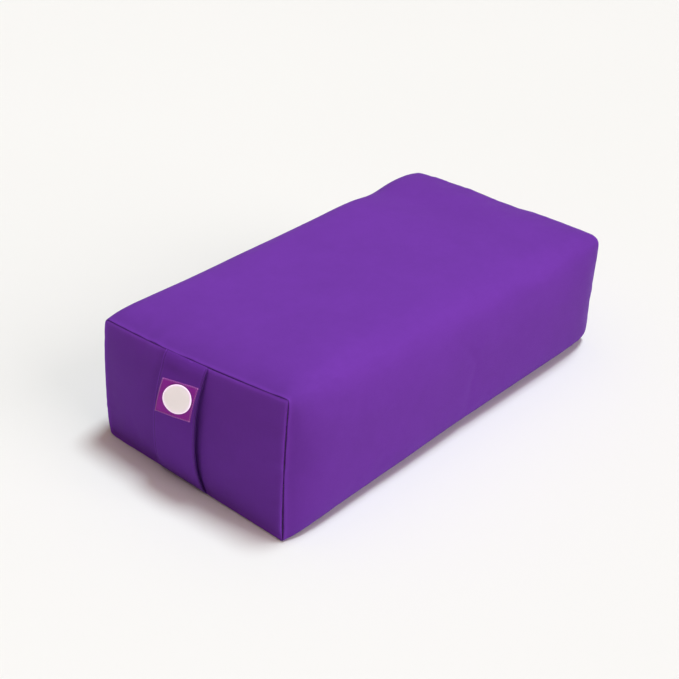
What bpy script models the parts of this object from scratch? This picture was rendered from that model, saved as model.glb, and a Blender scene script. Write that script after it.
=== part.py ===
"""Rectangular yoga bolster: a zipped cotton cover with a carry strap on one end, an inner liner and its filling.

Metres, +Z up. The bolster lies on the floor at z = 0, its long axis is Y, the end with the carry strap faces -Y,
and the zip runs along the -X side. The origin is the bottom centre of the bounding box.
"""

import math

import bmesh
import bpy
from mathutils import Matrix, Vector

# ---------------------------------------------------------------- driving dimensions
LENGTH = 0.600  # wrap panel, from end seam to end seam
WIDTH = 0.305  # across the end seams
HEIGHT = 0.168  # floor to top, at the end seams
CROWN_TOP = 0.010  # how far the filled top rises in the middle
CROWN_SIDE = 0.009  # how far each long side bulges in the middle
CROWN_END = 0.010  # how far each end panel bulges
EDGE_R_END = 0.002  # radius of the long edges where they meet the end seams
EDGE_R_TOP = 0.034  # radius of the upper long edges at mid length
EDGE_R_BASE = 0.020  # radius of the lower long edges at mid length

COVER_T = 0.0012  # cover fabric with its turned seam allowances
GAP = 0.0003  # free gap between touching pieces

STRAP_W = 0.074  # carry strap, flat width
STRAP_T = 0.0020  # two layers of cover fabric
STRAP_STANDOFF = 0.0070  # gap between strap and end panel at mid height
GRIP_Z = (0.0220, 0.1462)  # the stretch of the strap that lifts in the hand

LABEL_W, LABEL_H, LABEL_T = 0.060, 0.043, 0.0005
LABEL_Z = 0.1210  # height of the label's centre
DISC_R, DISC_T = 0.0188, 0.0004
THREAD_R = 0.0003

ZIP_Z = 0.046  # height of the zip's centre line
SLIT_W = 0.012  # fabric edge to fabric edge across the zip
TAPE_W, TAPE_T, TAPE_LEN = 0.0143, 0.0006, 0.584
COIL_W, COIL_T = 0.0020, 0.0016
COIL_GAP = 0.0012  # between the two rows, where the slider's web runs
COIL_Y = (-0.2820, 0.2760)  # front and rear ends of the rows, before the shift below
SLIDER_Y = -0.2755  # slider's centre with the zip closed
PULL_LEN, PULL_W, PULL_T = 0.024, 0.0072, 0.0012

LINER_IN = 0.0050  # liner's outer face, inside the cover's outer face
LINER_T = 0.0008
LINER_SLIT_Z, LINER_SLIT_W = 0.104, 0.0010
FILL_IN = LINER_IN + LINER_T + 0.0024

NAME = "yoga_bolster"


# ---------------------------------------------------------------- scene, collections, materials
def clear_scene():
    for obj in list(bpy.data.objects):
        bpy.data.objects.remove(obj, do_unlink=True)


def collection(name):
    made = bpy.data.collections.new(name)
    bpy.context.scene.collection.children.link(made)
    return made


def material(name, rgb, roughness, metallic=0.0):
    made = bpy.data.materials.new(name)
    made.use_nodes = True
    shader = made.node_tree.nodes["Principled BSDF"]
    shader.inputs["Base Color"].default_value = (*rgb, 1.0)
    shader.inputs["Roughness"].default_value = roughness
    shader.inputs["Metallic"].default_value = metallic
    made.diffuse_color = (*rgb, 1.0)
    return made


clear_scene()
PARTS = collection(NAME)
CUTTERS = collection("cutters")
ASSEMBLY = bpy.data.objects.new("assembly", None)
PARTS.objects.link(ASSEMBLY)

PURPLE = material("cover_fabric", (0.165, 0.045, 0.365), 0.85)
MAGENTA = material("label_fabric", (0.270, 0.030, 0.270), 0.75)
CREAM = material("disc_fabric", (0.760, 0.690, 0.620), 0.80)
PINK = material("label_thread", (0.560, 0.200, 0.520), 0.60)
TAPE = material("zip_tape", (0.120, 0.030, 0.270), 0.80)
COIL = material("zip_coil", (0.130, 0.035, 0.290), 0.40)
METAL = material("zip_metal", (0.110, 0.030, 0.240), 0.35, 0.6)
COTTON = material("liner_cotton", (0.780, 0.740, 0.660), 0.90)
STUFFING = material("cotton_filling", (0.840, 0.800, 0.720), 0.95)


def add(name, mesh_or_curve, mat, parent=True):
    obj = bpy.data.objects.new(name, mesh_or_curve)
    PARTS.objects.link(obj)
    obj.data.materials.append(mat)
    if parent:
        obj.parent = ASSEMBLY
    return obj


def cutter(obj):
    for group in obj.users_collection:
        group.objects.unlink(obj)
    CUTTERS.objects.link(obj)
    obj.hide_render = True
    obj.display_type = "WIRE"
    return obj


# ---------------------------------------------------------------- the bolster's form
def smooth(t):
    t = min(1.0, max(0.0, t))
    return t * t * (3 - 2 * t)


def fullness(y):
    """0 at the end seams, 1 over the middle of the length."""
    return 1.0 - min(1.0, abs(2 * y / LENGTH)) ** 5


def section(x, z, y, inset=0.0, half_length=LENGTH / 2):
    """Carries a point on the boundary of the plain rectangle WIDTH x HEIGHT to the filled section at station y.

    The corners get that station's radius, the top and the sides get their crown, and the line of the zip stays straight,
    because its tapes hold it."""
    full = 1.0 - min(1.0, abs(y) / half_length) ** 5
    half_w, half_h = WIDTH / 2, HEIGHT / 2
    u, w = x / half_w, (z - half_h) / half_h
    reach = max(abs(u), abs(w), 1e-9)
    bx, bz = u / reach * half_w, w / reach * half_h
    top = smooth((w + 1) / 2)
    radius = EDGE_R_END + full * (EDGE_R_BASE + (EDGE_R_TOP - EDGE_R_BASE) * top - EDGE_R_END)
    cx = max(-(half_w - radius), min(half_w - radius, bx))
    cz = max(-(half_h - radius), min(half_h - radius, bz))
    d = Vector((bx - cx, bz - cz))
    if d.length > 1e-9:
        bx, bz = cx + radius * d.x / d.length, cz + radius * d.y / d.length
    px, pz = bx * reach, bz * reach + half_h
    # crown of the top
    pz += CROWN_TOP * full * max(0.0, 1 - (px / half_w) ** 2) * smooth((pz - half_h) / half_h)
    # bulge of the long sides, none on the line of the zip
    side = CROWN_SIDE * full * max(0.0, 1 - ((pz - half_h) / half_h) ** 2) * smooth((abs(px) / half_w - 0.55) / 0.45)
    if px < 0 and inset:
        side *= smooth((pz - ZIP_Z - 0.008) / 0.045)
    elif px < 0:
        side *= smooth((abs(pz - ZIP_Z) - 0.008) / 0.030)
    px += math.copysign(side, px)
    # pulled in along the normal, for what lies inside
    if inset:
        px *= (half_w - inset) / half_w
        pz = half_h + (pz - half_h) * (half_h - inset) / half_h
    return Vector((px, y, pz))


def end_bulge(x, z):
    """How far an end panel stands out at (x, z)."""
    a, b = 2 * x / WIDTH, 2 * z / HEIGHT - 1
    return CROWN_END * max(0.0, 1 - a * a) * max(0.0, 1 - b * b)


def strap_out(z):
    """Distance of the strap's outer face in front of the end seam, at height z."""
    b = 2 * z / HEIGHT - 1
    return GAP + COVER_T + GAP + STRAP_T + (CROWN_END + STRAP_STANDOFF - GAP) * max(0.0, 1 - b * b)


def perimeter(first, last, count_side=12):
    """Points once round the rectangle's boundary, from height `first` on the -X side, down, under, up and over to height `last`.

    They crowd towards the corners, where the radius needs them."""
    half_w = WIDTH / 2
    spread = [math.sin(math.pi / 2 * (2 * i / count_side - 1)) for i in range(count_side + 1)]
    across = [half_w * s for s in spread]
    up = [HEIGHT / 2 * (1 + s) for s in spread]
    points = [(-half_w, first)]
    points += [(-half_w, z) for z in reversed(up) if z < first - 0.001]
    points += [(x, 0.0) for x in across[1:]]
    points += [(half_w, z) for z in up[1:]]
    points += [(x, HEIGHT) for x in reversed(across[:-1])]
    points += [(-half_w, z) for z in reversed(up[1:-1]) if z > last + 0.001]
    points += [(-half_w, last)]
    return points


def stations(half, count):
    return [half * math.sin(math.pi / 2 * (2 * j / count - 1)) for j in range(count + 1)]


def sheet(name, nu, nv, place, thickness, mat, outward, weld=False):
    """A panel of fabric: a grid of nu x nv faces laid where place(i, j) says, thickened inwards by Solidify."""
    mesh = bpy.data.meshes.new(name)
    bm = bmesh.new()
    bmesh.ops.create_grid(bm, x_segments=nu, y_segments=nv, size=1.0)
    for v in bm.verts:
        i = round((v.co.x + 1) / 2 * nu)
        j = round((v.co.y + 1) / 2 * nv)
        v.co = place(i, j)
    if weld:
        bmesh.ops.remove_doubles(bm, verts=bm.verts, dist=1e-6)
    bm.normal_update()
    facing = sum(f.normal.dot(outward(f.calc_center_median())) * f.calc_area() for f in bm.faces)
    if facing < 0:
        bmesh.ops.reverse_faces(bm, faces=bm.faces)
    bm.to_mesh(mesh)
    bm.free()
    obj = add(name, mesh, mat)
    wall = obj.modifiers.new("fabric_thickness", "SOLIDIFY")
    wall.thickness = thickness
    wall.offset = -1.0
    mesh.shade_smooth()
    mesh.set_sharp_from_angle(angle=math.radians(40))
    return obj


def from_axis(p):
    return Vector((p.x, 0.0, p.z - HEIGHT / 2))


# ---------------------------------------------------------------- outer cover
def build_wrap():
    """One panel that goes right round; its two long edges face each other across the zip."""
    around = perimeter(ZIP_Z - SLIT_W / 2, ZIP_Z + SLIT_W / 2)
    along = stations(LENGTH / 2, 16)
    sheet(
        "cover_wrap",
        len(around) - 1,
        len(along) - 1,
        lambda i, j: section(around[i][0], around[i][1], along[j]),
        COVER_T,
        PURPLE,
        from_axis,
    )


def build_end(name, sign, half, crown, low, thickness, mat, nx=14, nz=10):
    """An end panel: a rectangle that the filling pushes out in the middle. Its rim meets the wrap's edge."""
    xs = stations(WIDTH / 2 - low, nx)
    zs = [HEIGHT / 2 + s for s in stations(HEIGHT / 2 - low, nz)]

    def place(i, j):
        bulge = end_bulge(xs[i], zs[j]) * crown
        return Vector((xs[i], sign * (half + GAP + thickness + bulge), zs[j]))

    sheet(name, nx, nz, place, thickness, mat, lambda p: Vector((0, sign, 0)))


# ---------------------------------------------------------------- carry strap and its label
def build_strap(name, z_low, z_high, count):
    half = STRAP_W / 2
    xs = (-half, 0.0, half)

    def place(i, j):
        z = z_low + (z_high - z_low) * j / count
        return Vector((xs[i], -(LENGTH / 2 + strap_out(z)), z))

    sheet(name, 2, count, place, STRAP_T, PURPLE, lambda p: Vector((0, -1, 0)))


def on_strap(x, z, stand):
    """A point on the strap's outer face, `stand` proud of it."""
    slope = (strap_out(z + 0.001) - strap_out(z - 0.001)) / 0.002
    normal = Vector((0, -1, -slope)).normalized()
    return Vector((x, -(LENGTH / 2 + strap_out(z)), z)) + normal * stand


# The strap and its label make the front deeper than the rear, so everything shifts to centre the box on the origin.
STITCH_H = LABEL_H / 2 - 0.0014  # from the label's centre to the lowest and highest stitches
FRONT = THREAD_R - on_strap(0.0, LABEL_Z - STITCH_H, 2 * GAP + LABEL_T + THREAD_R).y
REAR = LENGTH / 2 + GAP + COVER_T + CROWN_END
ASSEMBLY.location = Vector((0.0, (FRONT - REAR) / 2, 0.0))


def build_label():
    def patch(i, j):
        x = LABEL_W * (i / 6 - 0.5)
        z = LABEL_Z + LABEL_H * (j / 8 - 0.5)
        return on_strap(x, z, GAP + LABEL_T)

    sheet("label_patch", 6, 8, patch, LABEL_T, MAGENTA, lambda p: Vector((0, -1, 0)))

    def disc(i, j):
        a, b = 2 * i / 12 - 1, 2 * j / 12 - 1
        x = DISC_R * a * math.sqrt(1 - b * b / 2)
        z = DISC_R * b * math.sqrt(1 - a * a / 2)
        return on_strap(x, LABEL_Z + z, 2 * GAP + LABEL_T + DISC_T)

    sheet("label_disc", 12, 12, disc, DISC_T, CREAM, lambda p: Vector((0, -1, 0)))

    half_w, half_h, side = LABEL_W / 2 - 0.0014, STITCH_H, 10
    loop = [(-half_w + 2 * half_w * k / side, -half_h) for k in range(side)]
    loop += [(half_w, -half_h + 2 * half_h * k / side) for k in range(side)]
    loop += [(half_w - 2 * half_w * k / side, half_h) for k in range(side)]
    loop += [(-half_w, half_h - 2 * half_h * k / side) for k in range(side)]
    points = [on_strap(x, LABEL_Z + z, 2 * GAP + LABEL_T + THREAD_R) for x, z in loop]
    thread("label_thread", points, THREAD_R, PINK, cyclic=True)


def thread(name, points, radius, mat, cyclic=False):
    curve = bpy.data.curves.new(name, "CURVE")
    curve.dimensions = "3D"
    curve.bevel_depth = radius
    curve.bevel_resolution = 2
    curve.use_fill_caps = not cyclic
    spline = curve.splines.new("POLY")
    spline.points.add(len(points) - 1)
    for p, co in zip(spline.points, points):
        p.co = (*co, 1.0)
    spline.use_cyclic_u = cyclic
    return add(name, curve, mat)


# ---------------------------------------------------------------- zip
ZIP_X = -WIDTH / 2  # the wrap's outer face on the line of the zip
TAPE_X = ZIP_X + COVER_T + GAP  # outer face of the tapes
COIL_X = TAPE_X - GAP - COIL_T  # outer face of the coil rows
TOP_IN = COIL_X - GAP  # inner face of the slider's top plate
TOP_T, BOTTOM_T = 0.0012, 0.0010
TOP_OUT = TOP_IN - TOP_T
BOTTOM_IN = TAPE_X + TAPE_T + GAP
PIN_X = TOP_OUT - 0.0010  # axis that the pull tab turns about
ARCH_OUT = PIN_X - 0.0019
SLIDER_LEN = 0.0120


def block(name, low, high, mat, bevel=0.0):
    """A box between two corners, its edges rounded by Bevel."""
    low, high = Vector(low), Vector(high)
    size = high - low
    mesh = bpy.data.meshes.new(name)
    bm = bmesh.new()
    bmesh.ops.create_cube(bm, size=1.0)
    bmesh.ops.scale(bm, vec=size, verts=bm.verts)
    bm.to_mesh(mesh)
    bm.free()
    obj = add(name, mesh, mat)
    obj.location = (low + high) / 2
    if bevel:
        round_off = obj.modifiers.new("rounded", "BEVEL")
        round_off.width = bevel
        round_off.segments = 2
    return obj


def outline(name, loops, half_thickness, mat):
    """A flat plate in its local XY plane, drawn as closed 2D outlines, the second and later ones being holes."""
    curve = bpy.data.curves.new(name, "CURVE")
    curve.dimensions = "2D"
    curve.fill_mode = "BOTH"
    curve.extrude = half_thickness
    for points in loops:
        spline = curve.splines.new("POLY")
        spline.points.add(len(points) - 1)
        for p, (x, y) in zip(spline.points, points):
            p.co = (x, y, 0.0, 1.0)
        spline.use_cyclic_u = True
    return add(name, curve, mat)


def rounded_rect(x0, y0, x1, y1, r, steps=4):
    corners = ((x1 - r, y1 - r, 0), (x0 + r, y1 - r, 90), (x0 + r, y0 + r, 180), (x1 - r, y0 + r, 270))
    points = []
    for cx, cy, start in corners:
        for k in range(steps + 1):
            a = math.radians(start + 90 * k / steps)
            points.append((cx + r * math.cos(a), cy + r * math.sin(a)))
    return points


# local X runs along the zip (+Y), local Y runs up (+Z), local Z points into the bolster (+X)
ALONG_ZIP = Matrix(((0, 0, 1), (1, 0, 0), (0, 1, 0)))


def as_mesh(obj):
    """The curve's evaluated mesh in the curve's place, its caps welded, so that a Boolean can work on it."""
    bpy.context.view_layer.update()
    graph = bpy.context.evaluated_depsgraph_get()
    mesh = bpy.data.meshes.new_from_object(obj.evaluated_get(graph))
    bm = bmesh.new()
    bm.from_mesh(mesh)
    bmesh.ops.remove_doubles(bm, verts=bm.verts, dist=1e-6)
    bm.to_mesh(mesh)
    bm.free()
    name, world, mat = obj.name, obj.matrix_world.copy(), obj.data.materials[0]
    bpy.data.objects.remove(obj, do_unlink=True)
    mesh.materials.clear()
    made = add(name, mesh, mat)
    made.parent = None
    made.matrix_world = world
    bpy.context.view_layer.update()
    made.parent = ASSEMBLY
    made.matrix_parent_inverse = ASSEMBLY.matrix_world.inverted()
    return made


def build_tapes_and_coils():
    half = TAPE_LEN / 2
    inner = COIL_GAP / 2 + 0.0001
    for name, sign in (("upper", 1), ("lower", -1)):
        z = sorted((ZIP_Z + sign * inner, ZIP_Z + sign * (inner + TAPE_W)))
        block(f"zip_tape_{name}", (TAPE_X, -half, z[0]), (TAPE_X + TAPE_T, half, z[1]), TAPE)
        z = sorted((ZIP_Z + sign * COIL_GAP / 2, ZIP_Z + sign * (COIL_GAP / 2 + COIL_W)))
        block(f"zip_coil_{name}", (COIL_X, COIL_Y[0], z[0]), (COIL_X + COIL_T, COIL_Y[1], z[1]), COIL, 0.0003)
        # the crimp at the closed end, one on each row
        z = sorted((ZIP_Z + sign * (COIL_GAP / 2 - 0.0002), ZIP_Z + sign * (COIL_GAP / 2 + COIL_W + 0.0004)))
        block(
            f"zip_top_stop_{name}",
            (COIL_X - 0.0003, COIL_Y[0] - 0.0038, z[0]),
            (TAPE_X - GAP, COIL_Y[0] - GAP, z[1]),
            METAL,
            0.0004,
        )
    reach = COIL_GAP / 2 + COIL_W + 0.0006
    block(
        "zip_bottom_stop",
        (COIL_X - 0.0004, COIL_Y[1] + GAP, ZIP_Z - reach),
        (TAPE_X - GAP, COIL_Y[1] + 0.0045, ZIP_Z + reach),
        METAL,
        0.0004,
    )


def build_slider():
    """Two plates on a thin web that runs between the rows, with an arch on the outer plate for the pull tab."""
    half = SLIDER_LEN / 2
    shield = [
        (-half, -0.0032), (-half + 0.0012, -0.0042), (-half + 0.0040, -0.0046), (0.0010, -0.0040),
        (half - 0.0010, -0.0036), (half, -0.0026), (half, 0.0026), (half - 0.0010, 0.0036),
        (0.0010, 0.0040), (-half + 0.0040, 0.0046), (-half + 0.0012, 0.0042), (-half, 0.0032),
    ]  # fmt: skip
    body = outline("zip_slider", [shield], TOP_T / 2, METAL)
    body.matrix_basis = Matrix.Translation(((TOP_IN + TOP_OUT) / 2, SLIDER_Y, ZIP_Z)) @ ALONG_ZIP.to_4x4()
    body = as_mesh(body)
    y = SLIDER_Y
    added = (
        ("bottom_plate", (BOTTOM_IN, y - half + 0.0004, ZIP_Z - 0.0044), (BOTTOM_IN + BOTTOM_T, y + half - 0.0006, ZIP_Z + 0.0044)),
        ("web", (TOP_IN - 0.0006, y - half + 0.0008, ZIP_Z - 0.0003), (BOTTOM_IN + 0.0005, y - half + 0.0078, ZIP_Z + 0.0003)),
        ("arch_front", (ARCH_OUT + 0.0003, y - 0.0033, ZIP_Z - 0.0013), (TOP_OUT + 0.0006, y - 0.0022, ZIP_Z + 0.0013)),
        ("arch_rear", (ARCH_OUT + 0.0003, y + 0.0022, ZIP_Z - 0.0013), (TOP_OUT + 0.0006, y + 0.0033, ZIP_Z + 0.0013)),
        ("arch_top", (ARCH_OUT, y - 0.0030, ZIP_Z - 0.0012), (ARCH_OUT + 0.0008, y + 0.0030, ZIP_Z + 0.0012)),
    )  # fmt: skip
    for name, low, high in added:
        tool = cutter(block(name, low, high, METAL))
        join = body.modifiers.new(name, "BOOLEAN")
        join.operation = "UNION"
        join.object = tool
    return body


def build_pull():
    """The pull tab, its window threaded through the arch. Its origin is on the axis it turns about."""
    bar = PULL_T / 2
    outer = rounded_rect(-bar, -PULL_W / 2, PULL_LEN, PULL_W / 2, 0.0005, 2)
    tail = rounded_rect(-bar, -PULL_W / 2, PULL_LEN, PULL_W / 2, 0.0030, 5)
    outer = [p for p in tail if p[0] > PULL_LEN / 2] + [p for p in outer if p[0] <= PULL_LEN / 2]
    outer.sort(key=lambda p: math.atan2(p[1], p[0] - PULL_LEN / 2))
    window = rounded_rect(bar, -0.0021, 0.0060, 0.0021, 0.0005, 2)
    tab = outline("zip_pull_tab", [outer, window], PULL_T / 2, METAL)
    tab.matrix_basis = Matrix.Translation((PIN_X, SLIDER_Y, ZIP_Z)) @ ALONG_ZIP.to_4x4()
    return tab


# ---------------------------------------------------------------- inside the cover
def build_liner():
    half = LENGTH / 2 - LINER_IN
    around = perimeter(LINER_SLIT_Z - LINER_SLIT_W / 2, LINER_SLIT_Z + LINER_SLIT_W / 2, 10)
    along = stations(half, 12)
    sheet(
        "liner_wrap",
        len(around) - 1,
        len(along) - 1,
        lambda i, j: section(around[i][0], around[i][1], along[j], LINER_IN, half),
        LINER_T,
        COTTON,
        from_axis,
    )
    build_end("liner_end_front", -1, half, 0.9, LINER_IN, LINER_T, COTTON, 10, 8)
    build_end("liner_end_rear", 1, half, 0.9, LINER_IN, LINER_T, COTTON, 10, 8)
    # ladder stitch that closes the slit where the filling went in
    points = []
    for k in range(41):
        y = -0.120 + 0.240 * k / 40
        z = LINER_SLIT_Z + (0.0030 if k % 2 else -0.0030)
        x = min(
            section(-WIDTH / 2, LINER_SLIT_Z + side * 0.003, y, LINER_IN, half).x for side in (-1, 1)
        )
        points.append(Vector((x - GAP - 0.0005, y, z)))
    thread("liner_closing_thread", points, 0.0004, COTTON)


def build_filling():
    """The stuffing, as one soft block of the liner's inner form."""
    half = LENGTH / 2 - FILL_IN
    mesh = bpy.data.meshes.new("filling")
    bm = bmesh.new()
    bmesh.ops.create_cube(bm, size=2.0)
    bmesh.ops.subdivide_edges(bm, edges=bm.edges, cuts=9, use_grid_fill=True)
    for v in bm.verts:
        u, s, w = (math.sin(math.pi / 2 * max(-1.0, min(1.0, c))) for c in v.co)
        y = s * half
        p = section(u * WIDTH / 2, HEIGHT / 2 * (1 + w), y, FILL_IN, half)
        if abs(v.co.y) > 0.999:
            p.y = math.copysign(half + 0.85 * end_bulge(p.x, p.z), y)
        v.co = p
    bmesh.ops.recalc_face_normals(bm, faces=bm.faces)
    bm.to_mesh(mesh)
    bm.free()
    mesh.shade_smooth()
    mesh.set_sharp_from_angle(angle=math.radians(40))
    add("filling", mesh, STUFFING)


def main():
    build_wrap()
    build_end("end_panel_front", -1, LENGTH / 2, 1.0, 0.0, COVER_T, PURPLE)
    build_end("end_panel_rear", 1, LENGTH / 2, 1.0, 0.0, COVER_T, PURPLE)
    low, high = GRIP_Z
    build_strap("handle_strap_bottom", 0.0012, low - GAP, 4)
    build_strap("handle_strap_grip", low, high, 14)
    build_strap("handle_strap_top", high + GAP, HEIGHT - 0.0004, 4)
    build_label()
    build_tapes_and_coils()
    build_slider()
    build_pull()
    build_liner()
    build_filling()


main()
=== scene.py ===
"""Looks of the rectangular yoga bolster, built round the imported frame.

Metres, +Z up. The long axis is Y, the end with the carry strap faces -Y, the zip runs along the -X side.
"""

import math

import bmesh
import bpy
import numpy as np
from mathutils import Matrix, Vector


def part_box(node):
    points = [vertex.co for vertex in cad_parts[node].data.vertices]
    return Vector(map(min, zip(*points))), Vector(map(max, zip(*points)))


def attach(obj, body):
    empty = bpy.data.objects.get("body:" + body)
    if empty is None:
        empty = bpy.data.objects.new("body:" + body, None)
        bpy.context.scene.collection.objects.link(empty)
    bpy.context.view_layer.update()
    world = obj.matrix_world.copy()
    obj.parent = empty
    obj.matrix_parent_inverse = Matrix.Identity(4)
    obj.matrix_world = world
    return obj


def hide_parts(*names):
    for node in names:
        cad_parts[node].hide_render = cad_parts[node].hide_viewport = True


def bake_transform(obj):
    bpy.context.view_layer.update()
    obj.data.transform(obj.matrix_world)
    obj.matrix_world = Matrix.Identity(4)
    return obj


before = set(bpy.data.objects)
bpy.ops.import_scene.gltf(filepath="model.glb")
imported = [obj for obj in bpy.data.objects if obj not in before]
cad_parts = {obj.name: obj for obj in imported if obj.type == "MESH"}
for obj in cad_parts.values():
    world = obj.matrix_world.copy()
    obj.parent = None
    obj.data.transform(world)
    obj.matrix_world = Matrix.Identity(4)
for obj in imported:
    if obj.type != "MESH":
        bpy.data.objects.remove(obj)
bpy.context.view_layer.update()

# ---------------------------------------------------------------- measures, from the frame and from the camera fit
WRAP_LOW, WRAP_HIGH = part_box("cover_wrap")
SHIFT = (WRAP_LOW.y + WRAP_HIGH.y) / 2  # the cover's middle along Y
L = 0.6000
W = 0.30563
H = 0.16848
A2, H2, L2 = W / 2, H / 2, L / 2

ZIP_Z = (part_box("zip_slider")[0].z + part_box("zip_slider")[1].z) / 2
ZIP_X = -0.1525  # outer face of the cover on the line of the zip
SLIT = 0.0060  # half of the zip's opening

# corner moves in metres: the filled cushion is not a perfect box
CORNERS = (
    # U, W, V, (x, y, z)
    (-1, 1, -1, (0.00691, 0.00607, -0.00587)),
    (1, 1, -1, (0.00145, 0.01167, 0.00536)),
    (1, -1, -1, (0.00533, -0.00683, 0.0)),
    (-1, -1, -1, (0.00146, 0.0, -0.00100)),
    (-1, 1, 1, (-0.00718, -0.00420, 0.00065)),
    (1, 1, 1, (0.00700, 0.00020, -0.00860)),
    (1, -1, 1, (-0.00080, 0.00150, 0.00150)),
)
# long edges: U, W, softness at mid length, at the front seam, at the rear seam
EDGES = (
    (1, 1, 0.033, 0.002, 0.010),
    (-1, 1, 0.020, 0.005, 0.008),
    (1, -1, 0.014, 0.002, 0.012),
    (-1, -1, 0.014, 0.009, 0.006),
)
CROWN, SIDE, BOW = 0.00798, 0.0100, 0.0010
ROUND = 0.0060  # extra roundness of the long sides at mid height
LAM, LC = 0.045, 0.020
DIP1, DIP2 = 0.0052, 0.0034
END_CROWN = 0.0098



def erf(x):
    """Abramowitz and Stegun 7.1.26, good to 1e-7."""
    sign, x = np.sign(x), np.abs(x)
    t = 1 / (1 + 0.3275911 * x)
    poly = t * (0.254829592 + t * (-0.284496736 + t * (1.421413741 + t * (-1.453152027 + t * 1.061405429))))
    return sign * (1 - poly * np.exp(-x * x))


def smooth(t):
    t = np.clip(t, 0.0, 1.0)
    return t * t * (3 - 2 * t)


def cut(s, sigma):
    """How far a corner of softness sigma is drawn in, at distance s from it."""
    t = s / sigma
    return sigma * (np.exp(-t * t / 2) / math.sqrt(2 * math.pi) - t * 0.5 * (1 - erf(t / math.sqrt(2))))


def form(U, Wp, V):
    """The cushion's filled form. U, Wp in -1..1 across and up (their boundary is the wrap), V in -1..1 along."""
    U, Wp, V = (np.array(q, float) for q in np.broadcast_arrays(U, Wp, V))
    d0, d1 = np.maximum((1 + V) * L2, 0), np.maximum((1 - V) * L2, 0)
    full = (1 - np.exp(-d0 / LAM)) * (1 - np.exp(-d1 / LAM))
    x, z = U * A2, Wp * H2
    t = (1 + V) / 2
    for cu, cw, mid, e0, e1 in EDGES:
        s = np.hypot(x - cu * A2, z - cw * H2)
        end = e0 + (e1 - e0) * t
        g = cut(s, end + (mid - end) * full)
        x = x - cu * g
        z = z - cw * g
    z = z + H2
    z_flat = z.copy()
    fc = (1 - np.exp(-d0 / LC)) * (1 - np.exp(-d1 / LC))
    up = smooth(z / H)
    z = z + CROWN * fc * (1 - 0.2 * np.clip(x / A2, -1, 1) ** 2) * up
    q = np.clip(np.abs(x) / A2, 0, 1)
    b = np.clip((z_flat - H2) / H2, -1, 1)
    side = (0.75 * SIDE + (0.0003 + 0.0019 * smooth((0.02 - V * L2) / 0.20)) * smooth(-b) * (x > 0) + (0.25 * SIDE + ROUND) * (1 - b * b)) * fc * q * q * (3 - 2 * q)
    off_zip = smooth((np.abs(z_flat - ZIP_Z) - 0.010) / 0.034)
    side = side * np.where(x < 0, off_zip, 1.0)
    x = x + side * np.sign(x)
    y = V * L2 - BOW * (1 - U * U) * np.exp(-d0 / 0.06) + BOW * (1 - U * U) * np.exp(-d1 / 0.06)
    for cu, cw, cv, (mx, my, mz) in CORNERS:
        w = ((1 + cu * U) / 2) ** 2 * ((1 + cw * Wp) / 2) ** 2 * ((1 + cv * V) / 2) ** 2
        x, y, z = x + w * mx, y + w * my, z + w * mz
    z = z - DIP1 * np.exp(-(((V * L2 - 0.196) / 0.034) ** 2)) * ((1 + Wp) / 2) ** 2 * ((1 - U) / 2) ** 2
    z = z - DIP2 * np.exp(-d1 / 0.05) * ((1 + Wp) / 2) ** 2 * np.exp(-(((U - 0.06) / 0.27) ** 2))
    # the zip's tapes hold the cover straight along their line
    hold = (1 - smooth((np.abs(z_flat - ZIP_Z) - 0.012) / 0.022)) * smooth(np.minimum(d0, d1) / 0.012)
    hold = hold * np.where(U < 0, np.abs(U) ** 6, 0.0)
    x = x + hold * (ZIP_X * np.abs(U) - x)
    z = z + hold * (z_flat - z)
    z = np.maximum(z, 0)
    return np.stack([x, y + SHIFT, z], -1)


# ---------------------------------------------------------------- smooth, seeded noise
def spline_weights(t):
    return np.stack([(1 - t) ** 3, 3 * t**3 - 6 * t**2 + 4, -3 * t**3 + 3 * t**2 + 3 * t + 1, t**3]) / 6


def sample(grid, u, v):
    """grid read at fractional places u, v with a cubic B-spline."""
    iu, iv = np.floor(u).astype(int), np.floor(v).astype(int)
    wu, wv = spline_weights(u - iu), spline_weights(v - iv)
    out = np.zeros(np.broadcast(u, v).shape)
    nu, nv = grid.shape
    for a in range(4):
        for b in range(4):
            out += wu[a] * wv[b] * grid[np.clip(iu + a - 1, 0, nu - 1), np.clip(iv + b - 1, 0, nv - 1)]
    return out


LATTICES = {}


def lattice_of(seed, shape):
    if (seed, shape) not in LATTICES:
        LATTICES[seed, shape] = np.random.default_rng(seed).standard_normal(shape)
    return LATTICES[seed, shape]


def noise2(u, v, cell, seed):
    """Smooth noise of about unit swing, with lumps about `cell` metres apart."""
    size = 512
    lattice = lattice_of(seed, (size, size))
    return 1.6 * sample(lattice, np.mod(u / cell + 200, size - 8) + 2, np.mod(v / cell + 200, size - 8) + 2)


def noise1(u, cell, seed):
    lattice = lattice_of(seed, (2048, 1))
    t = np.mod(u / cell + 700, 2040) + 2
    i = np.floor(t).astype(int)
    w = spline_weights(t - i)
    return 1.3 * sum(w[a] * lattice[np.clip(i + a - 1, 0, 2047), 0] for a in range(4))


# ---------------------------------------------------------------- meshes from grids of points
def make_object(name, verts, faces, mats, smooth_shade=True):
    mesh = bpy.data.meshes.new(name)
    mesh.from_pydata(verts.tolist() if hasattr(verts, "tolist") else verts, [], faces)
    for m in mats if isinstance(mats, (list, tuple)) else [mats]:
        mesh.materials.append(m)
    mesh.update()
    obj = bpy.data.objects.new(name, mesh)
    bpy.context.scene.collection.objects.link(obj)
    if smooth_shade:
        mesh.shade_smooth()
    return obj


def grid_faces(nu, nv, start=0, flip=False, close_u=False):
    a = np.arange(nu if close_u else nu - 1)[:, None]
    b = np.arange(nv - 1)[None, :]
    a2 = (a + 1) % nu
    quads = np.stack([a * nv + b, a2 * nv + b, a2 * nv + b + 1, a * nv + b + 1], -1).reshape(-1, 4) + start
    if flip:
        quads = quads[:, ::-1]
    return quads.tolist()


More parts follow.
